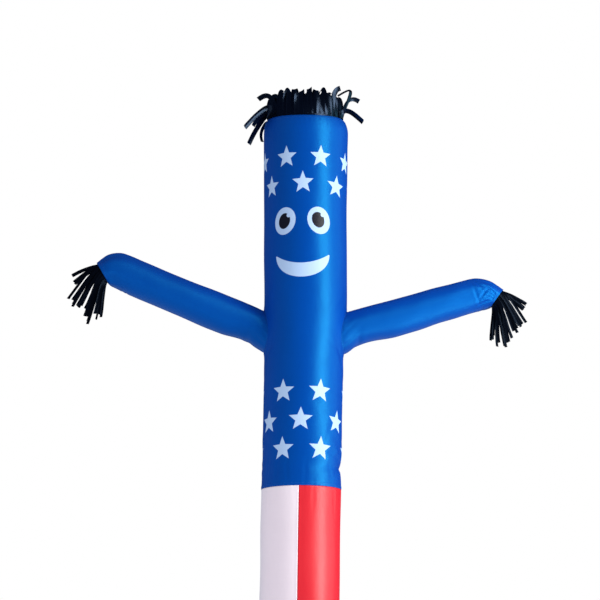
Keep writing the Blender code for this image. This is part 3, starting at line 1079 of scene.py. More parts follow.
TUBE_FOLDS = (
    # the pinch at the waist's right side and the soft pulls beside it
    Fold(88.0, 1.768, 2.0, 0.050, 0.0080, 0.0022),
    Fold(120.0, 1.780, -8.0, 0.050, 0.0110, 0.0026),
    Fold(66.0, 1.752, 28.0, 0.040, 0.0100, 0.0014),
    Fold(64.0, 1.795, -24.0, 0.046, 0.0120, 0.0014),
    Fold(-104.0, 1.772, -4.0, 0.050, 0.0110, 0.0018),
    # the slack cloth round the waist's stars, on the right
    Fold(24.0, 1.985, -32.0, 0.030, 0.0120, 0.0008),
    Fold(34.0, 1.962, 20.0, 0.030, 0.0110, 0.0007),
    Fold(44.0, 1.905, 64.0, 0.034, 0.0120, 0.0010),
    Fold(58.0, 1.858, -40.0, 0.034, 0.0120, 0.0011),
    Fold(50.0, 1.822, 30.0, 0.030, 0.0110, 0.0009),
    Fold(72.0, 1.905, -70.0, 0.036, 0.0130, 0.0012),
    Fold(76.0, 1.838, 40.0, 0.034, 0.0120, 0.0012),
    Fold(-44.0, 1.975, 30.0, 0.034, 0.0130, 0.0006),
    Fold(-70.0, 1.870, -36.0, 0.040, 0.0140, 0.0008),
    # pulls from the waist seam upwards
    Fold(-58.0, 1.760, 84.0, 0.050, 0.0085, 0.0006),
    Fold(-38.0, 1.748, 88.0, 0.042, 0.0090, 0.0007),
    Fold(-21.0, 1.742, 93.0, 0.036, 0.0080, 0.0006),
    Fold(6.0, 1.738, 86.0, 0.034, 0.0080, 0.0005),
    Fold(47.0, 1.742, 92.0, 0.034, 0.0085, 0.0006),
    # and downwards
    Fold(-64.0, 1.655, 88.0, 0.036, 0.0095, 0.0005),
    Fold(18.0, 1.658, 88.0, 0.032, 0.0085, 0.0005),
    Fold(55.0, 1.650, 94.0, 0.040, 0.0095, 0.0008),
    # under and over the sleeves
    Fold(-72.0, 2.150, 58.0, 0.050, 0.0110, 0.0014),
    Fold(-60.0, 2.192, 30.0, 0.036, 0.0100, 0.0008),
    Fold(72.0, 2.142, -58.0, 0.055, 0.0110, 0.0016),
    Fold(58.0, 2.188, -28.0, 0.036, 0.0100, 0.0008),
    Fold(-64.0, 2.372, -48.0, 0.036, 0.0100, 0.0006),
    Fold(64.0, 2.370, 48.0, 0.036, 0.0100, 0.0006),
    Fold(-112.0, 2.160, -60.0, 0.050, 0.0110, 0.0016),
    Fold(110.0, 2.150, 60.0, 0.050, 0.0110, 0.0016),
)


@dataclass
class TubeShape:
    """The inflated tube as a surface: turn 0 is the front, and turns run to the right."""

    waves: Waves = Waves(seed=11, height=0.0009)
    calm: Pair = (0.05, 3.00)  # the waves die away below the first height and above the second
    gather_count: int = 46
    gather_height: float = 0.0004
    gather_reach: Pair = (0.016, 0.010)  # from the waist seam, and from the two ends' hems
    seam_ridge: float = 0.0009
    seam_width: float = 0.011
    seam_fold: float = 0.0006  # half the height over which the waist seam's layer begins
    seam_edge: float = 0.003  # over which a seam's layer ends
    hem_height: float = 0.024
    hem_layer: float = 0.7  # of the seams' ridge
    rim_hem: Pair = (3.036, 3.040)
    rim_gathers: float = 3.034
    rim_sag: float = 0.0075
    rim_slack: Pair = (2.90, 3.02)  # over which the rim's sag grows
    waist_drop: float = 0.0018
    waist_sag: float = 0.0032
    waist_slack: float = 0.10
    back_seam: float = math.radians(187.0)

    def middle_and_radius(self, along: Array) -> tuple[Array, Array]:
        """The tube's middle along X and its outer radius at some heights."""
        values = smooth_rows(TUBE, along)
        return values[..., 0], values[..., 1]

    def gathers(self, turn: Array, along: Array) -> Array:
        """Small uneven gathers at the waist seam, the rim and the base, that die away from them.

        With n gathers they are 0.6 cos(n turn + 1.9 sin 3 turn) + 0.4 cos(n/2 turn + 2.3 cos 2 turn),
        stronger in some places round the tube, times e^(-distance / reach). The rim's are 1.2 and
        the base's 0.6 times as high as the waist's.

        Args:
            turn: Angle round the tube.
            along: Distance up the cloth.

        Returns:
            How far the cloth stands out there, in metres.
        """
        beat = 0.6 * np.cos(self.gather_count * turn + 1.9 * np.sin(3 * turn))
        beat = beat + 0.4 * np.cos(self.gather_count // 2 * turn + 2.3 * np.cos(2 * turn))
        strong = 0.65 + 0.35 * np.cos(2 * turn + 0.8) * np.cos(5 * turn)
        waist = np.exp(-np.abs(along - SEAM_HEIGHT) / self.gather_reach[0])
        rim = np.exp(-np.abs(along - self.rim_gathers) / self.gather_reach[1]) * 1.2
        base = np.exp(-np.abs(along - self.hem_height) / self.gather_reach[1]) * 0.6
        return self.gather_height * beat * strong * (waist + rim + base)

    def ridges(self, turn: Array, along: Array) -> Array:
        """The flat sewn seams, two layers thick, and the lower hems at the base and the rim.

        Each is a band with soft edges, 1 times or 0.7 times the ridge's height. Where bands cross, the
        higher one holds.

        Args:
            turn: Angle round the tube.
            along: Distance up the cloth.

        Returns:
            How far the cloth stands out there, in metres.
        """
        top = SEAM_HEIGHT + self.seam_width
        waist = smooth_step(along, SEAM_HEIGHT - self.seam_fold, SEAM_HEIGHT + self.seam_fold)
        waist = waist * (1 - smooth_step(along, top, top + self.seam_edge))
        below = along < SEAM_HEIGHT
        front = self.band(turn - FRONT_SEAM_TURN) * below
        back = self.band(turn - FRONT_SEAM_TURN - math.pi) * below
        spine = self.band(turn - self.back_seam) * ~below
        base = self.hem_layer * (1 - smooth_step(along, self.hem_height, self.hem_height + self.seam_edge))
        rim = self.hem_layer * smooth_step(along, *self.rim_hem)
        return self.seam_ridge * np.maximum.reduce((waist, front, back, spine, base, rim))

    def band(self, turn: Array) -> Array:
        """1 within half a seam's width of turn 0, 0 a little past it."""
        half = self.seam_width / 2
        return 1 - smooth_step(np.abs(wrapped(turn)) * MEAN_RADIUS, half, half + self.seam_edge)

    def relief(self, turn: Array, along: Array) -> Array:
        """Everything that makes the cloth stand in or out of the plain tube.

        It is the waves, the folds, the gathers and the ridges added up, less 0.7 of a ridge.

        Args:
            turn: Angle round the tube.
            along: Distance up the cloth.

        Returns:
            How far the cloth stands out there, in metres.
        """
        steady = smooth_step(along, 0.0, self.calm[0])
        steady = steady * (1 - smooth_step(along, self.calm[1], TUBE_HEIGHT))
        offset = self.waves.at(turn, along) * steady
        offset = offset + folded(TUBE_FOLDS, turn, along, MEAN_RADIUS)
        offset = offset + self.gathers(turn, along) * smooth_step(along, 0.0, EDGE_FADE)
        return offset + self.ridges(turn, along) - self.seam_ridge * self.hem_layer

    def plain(self, turn: Array, along: Array, out: Array | float = 0.0) -> Array:
        """A point of the plain tube: (middle + r sin turn, -r cos turn, along - sag).

        Args:
            turn: Angle round the tube.
            along: Distance up the cloth from the ground.
            out: Added to the radius.

        Returns:
            Points along a last axis.
        """
        middle, radius = self.middle_and_radius(along)
        r = radius + out
        height = along - self.sag(turn, along)
        return np.stack(np.broadcast_arrays(middle + r * np.sin(turn), -r * np.cos(turn), height), axis=-1)

    def sag(self, turn: Array, along: Array) -> Array:
        """How far the cloth hangs below its measure along: the rim in front, the waist at its sides.

        It is the rim's sag x cos^2 turn in front, and e^(-(distance from the seam / slack)^2) x
        (drop + sag x sin^2 turn) at the waist.

        Args:
            turn: Angle round the tube.
            along: Distance up the cloth.

        Returns:
            The drop, in metres.
        """
        rim = smooth_step(along, *self.rim_slack) * self.rim_sag * np.maximum(np.cos(turn), 0.0) ** 2
        near_waist = np.exp(-(((along - SEAM_HEIGHT) / self.waist_slack) ** 2))
        return rim + near_waist * (self.waist_drop + self.waist_sag * np.sin(turn) ** 2)

    def place(self, turn: Array, along: Array) -> Array:
        """A point of the finished cloth's outer face."""
        return self.plain(turn, along, self.relief(turn, along))


@dataclass(frozen=True)
class Star:
    """A printed star: its turn and lean in degrees, its height, half width and half height."""

    turn: float
    height: float
    half_width: float
    half_height: float
    lean: float = 0.0


STARS = (
    # the head's upper row
    Star(-75.5, 2.8830, 0.0405, 0.0430, 2),
    Star(-26.9, 2.8865, 0.0405, 0.0430, 0),
    Star(20.9, 2.8865, 0.0412, 0.0430, 1),
    Star(69.5, 2.8800, 0.0415, 0.0430, 4),
    Star(123.0, 2.8865, 0.0405, 0.0430, -2),
    Star(177.0, 2.8865, 0.0405, 0.0430, 1),
    Star(-129.0, 2.8865, 0.0405, 0.0430),
    # its lower row
    Star(-53.4, 2.7840, 0.0390, 0.0425, 1),
    Star(-3.6, 2.7895, 0.0410, 0.0430, -1),
    Star(47.0, 2.7820, 0.0450, 0.0425, 5),
    Star(99.0, 2.7850, 0.0420, 0.0430, 3),
    Star(151.0, 2.7880, 0.0405, 0.0430),
    Star(-157.0, 2.7880, 0.0405, 0.0430, -2),
    Star(-105.0, 2.7860, 0.0405, 0.0430, 1),
    # the waist's rows
    Star(-95.0, 2.0305, 0.0452, 0.0440),
    Star(-30.1, 2.0325, 0.0452, 0.0440),
    Star(25.3, 2.0325, 0.0452, 0.0440, 3),
    Star(94.0, 2.0305, 0.0452, 0.0440, 2),
    Star(152.0, 2.0325, 0.0452, 0.0440, -2),
    Star(-151.0, 2.0325, 0.0452, 0.0440, 2),
    Star(-57.9, 1.9255, 0.0452, 0.0440),
    Star(-3.0, 1.9300, 0.0452, 0.0440, 1),
    Star(57.4, 1.9255, 0.0452, 0.0440, 8),
    Star(119.0, 1.9280, 0.0452, 0.0440, 2),
    Star(180.0, 1.9300, 0.0452, 0.0440),
    Star(-119.0, 1.9280, 0.0452, 0.0440, -1),
    Star(-94.0, 1.8245, 0.0448, 0.0440),
    Star(-30.0, 1.8265, 0.0448, 0.0440),
    Star(26.8, 1.8265, 0.0448, 0.0440, 3),
    Star(92.0, 1.8245, 0.0448, 0.0440, 1),
    Star(152.0, 1.8265, 0.0448, 0.0440, 2),
    Star(-152.0, 1.8265, 0.0448, 0.0440),
)


@dataclass
class Torso(SewnCloth):
    """The printed blue torso and head: one tube of cloth with two sleeve holes."""

    sleeves: Sequence["Sleeve"]
    columns: int = 264
    spans: tuple[tuple[float, float, int], ...] = (
        (SEAM_HEIGHT, 1.712, 8),
        (1.712, 1.830, 22),
        (1.830, 2.130, 26),
        (2.130, 2.400, 46),
        (2.400, 3.000, 48),
        (3.000, TUBE_HEIGHT, 20),
    )  # rows, closer together at the seam, the pinch, the sleeves and the rim
    hole_settle: float = 0.35  # over this share of a sleeve's hole the relief grows from none
    hole_lift: float = 0.0008  # what the cloth stands out at a hole's edge
    hole_lift_share: Pair = (0.10, 0.16)
    face_turn: float = math.radians(-5.6)
    face_height: float = 2.6500
    face_radius: float = 0.151
    face_half: float = 0.2
    star_reach: float = 1.4  # how far a star's map reaches, in its half widths
    blank: float = 9.0  # a print map's value away from the print
    cloth_radius: float = 0.150  # of the cloth map
    flat: Pair = (0.960, 1.355)
    round_rows: tuple[float, ...] = (SEAM_HEIGHT + 0.0025, SEAM_HEIGHT + 0.0095, 3.041)
    spine_row: Pair = (SEAM_HEIGHT + 0.012, 3.044)

    def star_map(self, turn: Array, along: Array) -> Array:
        """Each face's corners as seen from its nearest star's middle, in star radii.

        Args:
            turn: Unwrapped turns of a grid with a closing column.
            along: Heights of the same grid.

        Returns:
            The star map.
        """
        corners = grid_map(turn, along)
        middles = corners.mean(axis=1)
        best = np.full(len(corners), np.inf)
        stars = np.full(corners.shape, self.blank)
        for star in STARS:
            star_turn = math.radians(star.turn)
            radius = float(self.tube.middle_and_radius(np.array(star.height))[1])
            around = wrapped(middles[:, 0] - star_turn) * radius
            away = np.hypot(around, middles[:, 1] - star.height)
            mine = (away < best) & (away < self.star_reach * star.half_width)
            best = np.where(mine, away, best)
            shift = (around - middles[:, 0] * radius)[mine][:, None]
            dx = corners[mine][..., 0] * radius + shift
            dy = corners[mine][..., 1] - star.height
            c, s = math.cos(math.radians(star.lean)), math.sin(math.radians(star.lean))
            across = (dx * c - dy * s) / star.half_width
            up = (dx * s + dy * c) / star.half_height
            stars[mine] = np.stack((across, up), axis=-1)
        return stars

    def surface(self) -> Surface:
        """The cloth: the tube's surface on a grid, less the faces inside the sleeve holes.

        A point that a kept face leaves hanging inside a hole is moved straight out to the
        hole's edge, as seen from the hole's middle.

        Returns:
            The cloth's outer face with its maps.
        """
        start = self.tube.back_seam - 2 * math.pi
        turn = start + 2 * math.pi * np.arange(self.columns + 1) / self.columns
        turn, along = np.meshgrid(turn, spaced(self.spans))
        faces = grid_faces(len(turn), self.columns, closed=True)
        keep = np.ones(len(faces), dtype=bool)
        flat = np.stack((turn[:, :-1], along[:, :-1]), axis=-1).reshape(-1, 2)
        moved = flat.copy()
        near = np.full(len(flat), np.inf)
        for sleeve in self.sleeves:
            share, edge = sleeve.hole_share(flat[:, 0], flat[:, 1])
            keep &= ~(share[faces] < 1.0).all(axis=1)
            inner = share < 1.0
            moved[inner] = edge[inner]
            near = np.minimum(near, np.abs(share - 1.0))
        settle = smooth_step(near, 0.0, self.hole_settle)
        relief = self.tube.relief(moved[:, 0], moved[:, 1])
        lift = self.hole_lift * (1 - smooth_step(near, *self.hole_lift_share))
        points = self.tube.plain(moved[:, 0], moved[:, 1], relief * settle + lift)
        turn, along = (
            np.concatenate((moved[:, k].reshape(len(whole), -1), whole[:, -1:]), axis=1)
            for k, whole in enumerate((turn, along))
        )
        face = grid_map((turn - self.face_turn) * self.face_radius, along - self.face_height)
        face[np.abs(face[..., 0]).max(axis=1) > self.face_half] = self.blank
        maps = {
            "cloth": grid_map(turn * self.cloth_radius, along)[keep],
            "star": self.star_map(turn, along)[keep],
            "face": face[keep],
        }
        kept, faces = np.unique(faces[keep], return_inverse=True)
        return Surface(points[kept], faces.reshape(-1, 4), maps)

    def stitch_rows(self) -> list[tuple[Array, Array]]:
        """Two rows at the waist seam, one at the rim and one up the back seam.

        Returns:
            Turns and heights of each row.
        """
        beside_seam = self.tube.back_seam + STITCH_INSET / MEAN_RADIUS
        rows = [row_round(0, 2 * math.pi, height, points=400) for height in self.round_rows]
        return [*rows, row_up(beside_seam, *self.spine_row, points=500)]

    def declare(self, fringe: bpy.types.Object) -> None:
        """Attach the cloth to the body and hide the imported part that it replaces.

        Args:
            fringe: The hair. Not used.
        """
        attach(self.piece, BODY)
        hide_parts("torso_panel")


@dataclass
class LegPanel(SewnCloth):
    """Half of the tube's lower part, from the base hem to the waist seam."""

    colour: str
    first_turn: float
    columns: int = 128
    spans: tuple[tuple[float, float, int], ...] = (
        (0.0, 0.040, 14),
        (0.040, 1.560, 110),
        (1.560, SEAM_HEIGHT - GAP, 30),
    )  # rows, closer together at the hem and at the seam
    flat: Pair = (0.460, 1.700)
    hem_row: float = 0.003  # its stitches' distance below the hem's upper edge
    row_ends: Pair = (0.02, 0.004)  # where rows stop: a turn short, and a distance short

    def surface(self) -> Surface:
        """The cloth: half a turn of the tube's surface on a grid, short of its neighbour.

        Returns:
            The cloth's outer face with its map.
        """
        edge = 0.5 * GAP / MEAN_RADIUS
        turn = np.linspace(self.first_turn + edge, self.first_turn + math.pi - edge, self.columns)
        turn, along = np.meshgrid(turn, spaced(self.spans))
        maps = {"cloth": grid_map(turn * MEAN_RADIUS, along)}
        faces = grid_faces(len(turn), self.columns, closed=False)
        return Surface(self.place(turn, along).reshape(-1, 3), faces, maps)

    def stitch_rows(self) -> list[tuple[Array, Array]]:
        """One row at the hem and one beside each long seam.

        Returns:
            Turns and heights of each row.
        """
        turned, short = self.row_ends
        inset = STITCH_INSET / MEAN_RADIUS
        first, last = self.first_turn, self.first_turn + math.pi
        return [
            row_round(first + turned, last - turned, self.tube.hem_height - self.hem_row, points=240),
            row_up(first + inset, short, SEAM_HEIGHT - short, points=500),
            row_up(last - inset, short, SEAM_HEIGHT - short, points=500),
        ]

    def declare(self) -> None:
        """Attach the cloth to the body and hide the imported part that it replaces."""
        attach(self.piece, BODY)
        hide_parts(f"leg_panel_{self.colour}")


# ---------------------------------------------------------------- sleeves


LEFT_FOLDS = (
    # turn 270 faces the viewer; 0 is the upper edge and 180 the lower
    Fold(262.0, 0.030, 70.0, 0.030, 0.0080, 0.0008),
    Fold(230.0, 0.026, 60.0, 0.026, 0.0075, 0.0009),
    Fold(190.0, 0.062, 10.0, 0.034, 0.0090, 0.0020),
    Fold(184.0, 0.540, 4.0, 0.024, 0.0070, 0.0012),
    Fold(168.0, 0.556, -10.0, 0.024, 0.0060, 0.0012),
    Fold(100.0, 0.560, 82.0, 0.026, 0.0080, 0.0010),
)
RIGHT_FOLDS = (
    # turn 90 faces the viewer
    Fold(92.0, 0.028, 110.0, 0.030, 0.0080, 0.0008),
    Fold(128.0, 0.026, 120.0, 0.028, 0.0080, 0.0010),
    Fold(165.0, 0.052, -16.0, 0.034, 0.0095, 0.0022),
    Fold(100.0, 0.512, 8.0, 0.030, 0.0060, 0.0016),
    Fold(60.0, 0.522, 28.0, 0.024, 0.0060, 0.0016),
    Fold(96.0, 0.540, -38.0, 0.020, 0.0050, 0.0030),
    Fold(76.0, 0.556, 66.0, 0.018, 0.0050, 0.0030),
    Fold(110.0, 0.560, 80.0, 0.018, 0.0050, 0.0026),
    Fold(128.0, 0.548, -70.0, 0.022, 0.0060, 0.0024),
    Fold(48.0, 0.566, 84.0, 0.020, 0.0060, 0.0018),
    Fold(176.0, 0.530, 0.0, 0.026, 0.0070, 0.0012),
    Fold(262.0, 0.550, 84.0, 0.024, 0.0080, 0.0014),
)


@dataclass(frozen=True)
class Oval:
    """An oval in space: its middle, the directions of its two halves, and their lengths."""

    middle: Array
    up: Array
    across: Array
    half_height: float
    half_depth: float

    def at(self, turn: Array, deeper: float) -> Array:
        """Points at some turns from its upper end, moved inwards by a distance.

        A point is middle + up (h - deeper) cos turn + across (d - deeper) sin turn.

        Args:
            turn: Angle from the upper end.
            deeper: How far inwards.

        Returns:
            Points along a last axis.
        """
        high = (self.half_height - deeper) * np.cos(turn)
        wide = (self.half_depth - deeper) * np.sin(turn)
        return self.middle + self.up * high[..., None] + self.across * wide[..., None]


@dataclass
class Sleeve(SewnCloth):
    """A sleeve: an open tube of cloth on a curved middle line, sewn into a hole in the torso."""

    side: Side
    sections: Array
    folds: Sequence[Fold]
    columns: int = 132
    rows: int = 170
    closeness: Pair = (0.055, 0.115)  # how much rows close up at the root and at the mouth
    radius: float = 0.065
    hole_radius: float = 0.148  # turns an angle into a distance round the hole in the torso
    tuck: float = 0.005  # how far the cloth goes on inside the torso
    root_gathers: Pair = (0.0009, 0.016)  # height and reach
    mouth_gathers: Pair = (0.0007, 0.012)
    fixed_root: float = 0.012  # over which the relief grows from none at the torso
    hem: float = 0.011
    hem_edge: float = 0.003
    hem_row: float = 0.0025  # its stitches' distance past the hem's edge
    second_layer: float = 0.0007
    under: float = math.pi  # the turn of its lengthwise seam
    under_row: float = 0.05  # how far its stitches are turned past it
    under_ends: Pair = (0.006, 0.004)  # where they stop short of the root and of the mouth
    girth: float = 0.410  # round the flat cloth
    # worked out from the above: the side's sign, the direction across, the sections by distance
    # along, the length, the columns' turns, where each leaves the torso, and the hole's edge
    sign: int = field(init=False)
    across: Array = field(init=False)
    table: Array = field(init=False)
    end: float = field(init=False)
    turns: Array = field(init=False)
    root: Array = field(init=False)
    first: float = field(init=False)
    hole_turn: float = field(init=False)
    hole_height: float = field(init=False)
    hole_way: Array = field(init=False)
    hole_far: Array = field(init=False)

    def __post_init__(self) -> None:
        """Measure the sections along the sleeve and find where it leaves the torso."""
        self.sign = self.side.value
        self.across = np.array((0.0, -float(self.sign), 0.0))
        run = run_along(self.section_axes(self.sections)[0])
        self.table = np.concatenate((run[:, None], self.sections), axis=1)
        self.end = float(run[-1])
        self.turns = 2 * math.pi * np.arange(self.columns + 1) / self.columns
        self.root = self.find_root(self.turns)
        self.first = float(self.root.min())
        self.find_hole()

    def section_axes(self, sections: Array) -> tuple[Array, Array, Array]:
        """Middle, half height and direction up of some sections.

        Args:
            sections: Rows of the sleeve's table.

        Returns:
            The three, by section.
        """
        side = self.sign
        zero = np.zeros_like(sections[..., 0])
        top = np.stack((side * sections[..., 0], zero, sections[..., 1]), axis=-1)
        low = np.stack((side * sections[..., 2], zero, sections[..., 3]), axis=-1)
        length = np.linalg.norm(top - low, axis=-1)
        return (top + low) / 2, length / 2, (top - low) / length[..., None]

    def plain(self, turn: Array, run: Array, out: Array | float = 0.0) -> Array:
        """A point of the sleeve: middle + up (h + o) cos turn + across (d + o) sin turn.

        h and d are the section's half height and half depth, and o is its pleats' depth times
        0.6 cos(5 turn + 0.7) + 0.4 cos(8 turn + 2.3), with whatever is added to it.

        Args:
            turn: Angle round the sleeve from its upper edge.
            run: Distance along it.
            out: Added outwards.

        Returns:
            Points along a last axis.
        """
        values = smooth_rows(self.table, run)
        middle, half_height, up = self.section_axes(values)
        half_depth, pleats = values[..., 4], values[..., 5]
        more = pleats * (0.6 * np.cos(5 * turn + 0.7) + 0.4 * np.cos(8 * turn + 2.3)) + out
        return (
            middle
            + up * ((half_height + more) * np.cos(turn))[..., None]
            + self.across * ((half_depth + more) * np.sin(turn))[..., None]
        )

    def find_root(self, turn: Array, outer: int = 3, halvings: int = 36) -> Array:
        """Where each line along the sleeve crosses the torso, by halving the stretch it is in.

        Args:
            turn: The lines' turns round the sleeve.
            outer: The first of the sections that is all outside the torso.
            halvings: How often the stretch is halved.

        Returns:
            Distances along the sleeve.
        """
        low = np.zeros_like(turn)
        high = np.full_like(turn, self.table[outer, 0])
        for _ in range(halvings):
            half = (low + high) / 2
            point = self.plain(turn, half)
            middle, radius = self.tube.middle_and_radius(point[..., 2])
            outside = np.hypot(point[..., 0] - middle, point[..., 1]) > radius
            high = np.where(outside, half, high)
            low = np.where(outside, low, half)
        return (low + high) / 2

    def find_hole(self) -> None:
        """The hole's edge on the torso: its middle, and its distance from there by direction."""
        points = self.plain(self.turns[:-1], self.root[:-1])
        middle, radius = self.tube.middle_and_radius(points[:, 2])
        turn = np.arctan2(points[:, 0] - middle, -points[:, 1])
        self.hole_turn = self.sign * math.pi / 2
        self.hole_height = float((points[:, 2].max() + points[:, 2].min()) / 2)
        x = wrapped(turn - self.hole_turn) * self.hole_radius
        y = points[:, 2] - self.hole_height
        way, far = np.arctan2(y, x), np.hypot(x, y)
        order = np.argsort(way)
        self.hole_way = np.concatenate((way[order] - 2 * math.pi, way[order], way[order] + 2 * math.pi))
        self.hole_far = np.tile(far[order], 3)

    def hole_share(self, turn: Array, along: Array) -> tuple[Array, Array]:
        """How far out a place on the torso is from the hole's middle, as a share of the edge's.

        Args:
            turn: Turns on the torso.
            along: Heights on the torso.

        Returns:
            The shares, below 1 inside the hole, and the places straight out on its edge.
        """
        around = wrapped(turn - self.hole_turn)
        x = around * self.hole_radius
        y = along - self.hole_height
        far = np.hypot(x, y)
        edge = np.interp(np.arctan2(y, x), self.hole_way, self.hole_far)
        scale = edge / np.maximum(far, 1e-9)
        edge_turn = turn - around + x * scale / self.hole_radius
        return far / edge, np.stack((edge_turn, self.hole_height + y * scale), axis=-1)

    def relief(self, turn: Array, run: Array) -> Array:
        """Waves, folds, gathers at both ends and the hem's second layer.

        The gathers are 0.6 cos(19 turn + 1.4 sin 2 turn) + 0.4 cos(11 turn + 2), times their height
        and e^(-distance / reach). All but the hem's layer is 0.4 as high on the hem.

        Args:
            turn: Angle round the sleeve.
            run: Distance along it.

        Returns:
            How far the cloth stands out there, in metres.
        """
        root = np.interp(np.mod(turn, 2 * math.pi), self.turns, self.root)
        away = run - root
        waves = Waves(seed=23 + self.sign, height=0.0007, most_round=4, shortest=0.10, longest=0.5)
        offset = waves.at(turn, run) + folded(self.folds, turn, run - self.first, self.radius)
        beat = 0.6 * np.cos(19 * turn + 1.4 * np.sin(2 * turn)) + 0.4 * np.cos(11 * turn + 2.0)
        gathers = sum(
            height * np.exp(-distance / reach)
            for (height, reach), distance in zip(
                (self.root_gathers, self.mouth_gathers), (away, self.end - run)
            )
        )
        hem = smooth_step(run, self.end - self.hem - self.hem_edge, self.end - self.hem)
        offset = (offset + gathers * beat) * smooth_step(away, 0.0, self.fixed_root)
        layer = self.second_layer * (hem - 1) * smooth_step(away, 0.0, EDGE_FADE)
        return offset * (1 - 0.6 * hem) + layer

    def place(self, turn: Array, run: Array) -> Array:
        """A point of the finished cloth's outer face."""
        return self.plain(turn, run, self.relief(turn, run))

    def mouth(self) -> Oval:
        """The inner face of the open end, where the hand's strip is sewn on.

        Returns:
            The oval on which the strip stands.
        """
        *_, half_depth, pleats = self.sections[-1]
        middle, half_height, up = self.section_axes(self.sections[-1])
        inset = CLOTH + 2 * GAP + pleats
        return Oval(middle, up, self.across, half_height - inset, half_depth - inset)

    def surface(self) -> Surface:
        """The cloth on a grid whose rows start on the torso and close up towards both ends.

        Rows are at v - closeness x sin 2 pi v, v from 0 at the root to 1 at the mouth. One more row
        before them is tucked into the torso.

        Returns:
            The cloth's outer face with its map.
        """
        v = np.linspace(0.0, 1.0, self.rows)
        v = v - np.where(v < 0.5, *self.closeness) * np.sin(2 * math.pi * v)
        turn, share = np.meshgrid(self.turns, v)
        run = self.root[None, :] + (self.end - self.root)[None, :] * share
        tucked = self.plain(self.turns[:-1], self.root[:-1] - self.tuck)
        points = np.concatenate((tucked[None], self.place(turn, run)[:, :-1]))
        across = np.concatenate((turn[:1], turn)) * self.radius
        along = np.concatenate((run[:1] - self.tuck, run))
        maps = {"cloth": grid_map(across, along)}
        return Surface(points.reshape(-1, 3), grid_faces(self.rows + 1, self.columns, closed=True), maps)

    def stitch_rows(self) -> list[tuple[Array, Array]]:
        """One row at the root, one at the hem and one along the underside.

        Returns:
            Turns and distances along of each row.
        """
        at_hem = row_round(0, 2 * math.pi, self.end - self.hem + self.hem_row, points=240)
        at_root = np.interp(at_hem[0], self.turns, self.root) + STITCH_INSET
        first = float(np.interp(self.under, self.turns, self.root)) + self.under_ends[0]
        last = self.end - self.under_ends[1]
        under = row_up(self.under + self.under_row, first, last, points=260)
        return [(at_hem[0], at_root), at_hem, under]

    def declare(self, fringe: bpy.types.Object) -> None:
        """Attach the cloth to the body and hide the imported part that it replaces.

        Args:
            fringe: The hand. Not used.
        """
        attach(self.piece, BODY)
        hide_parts(f"sleeve_{self.side.name.lower()}")


# ---------------------------------------------------------------- fringes


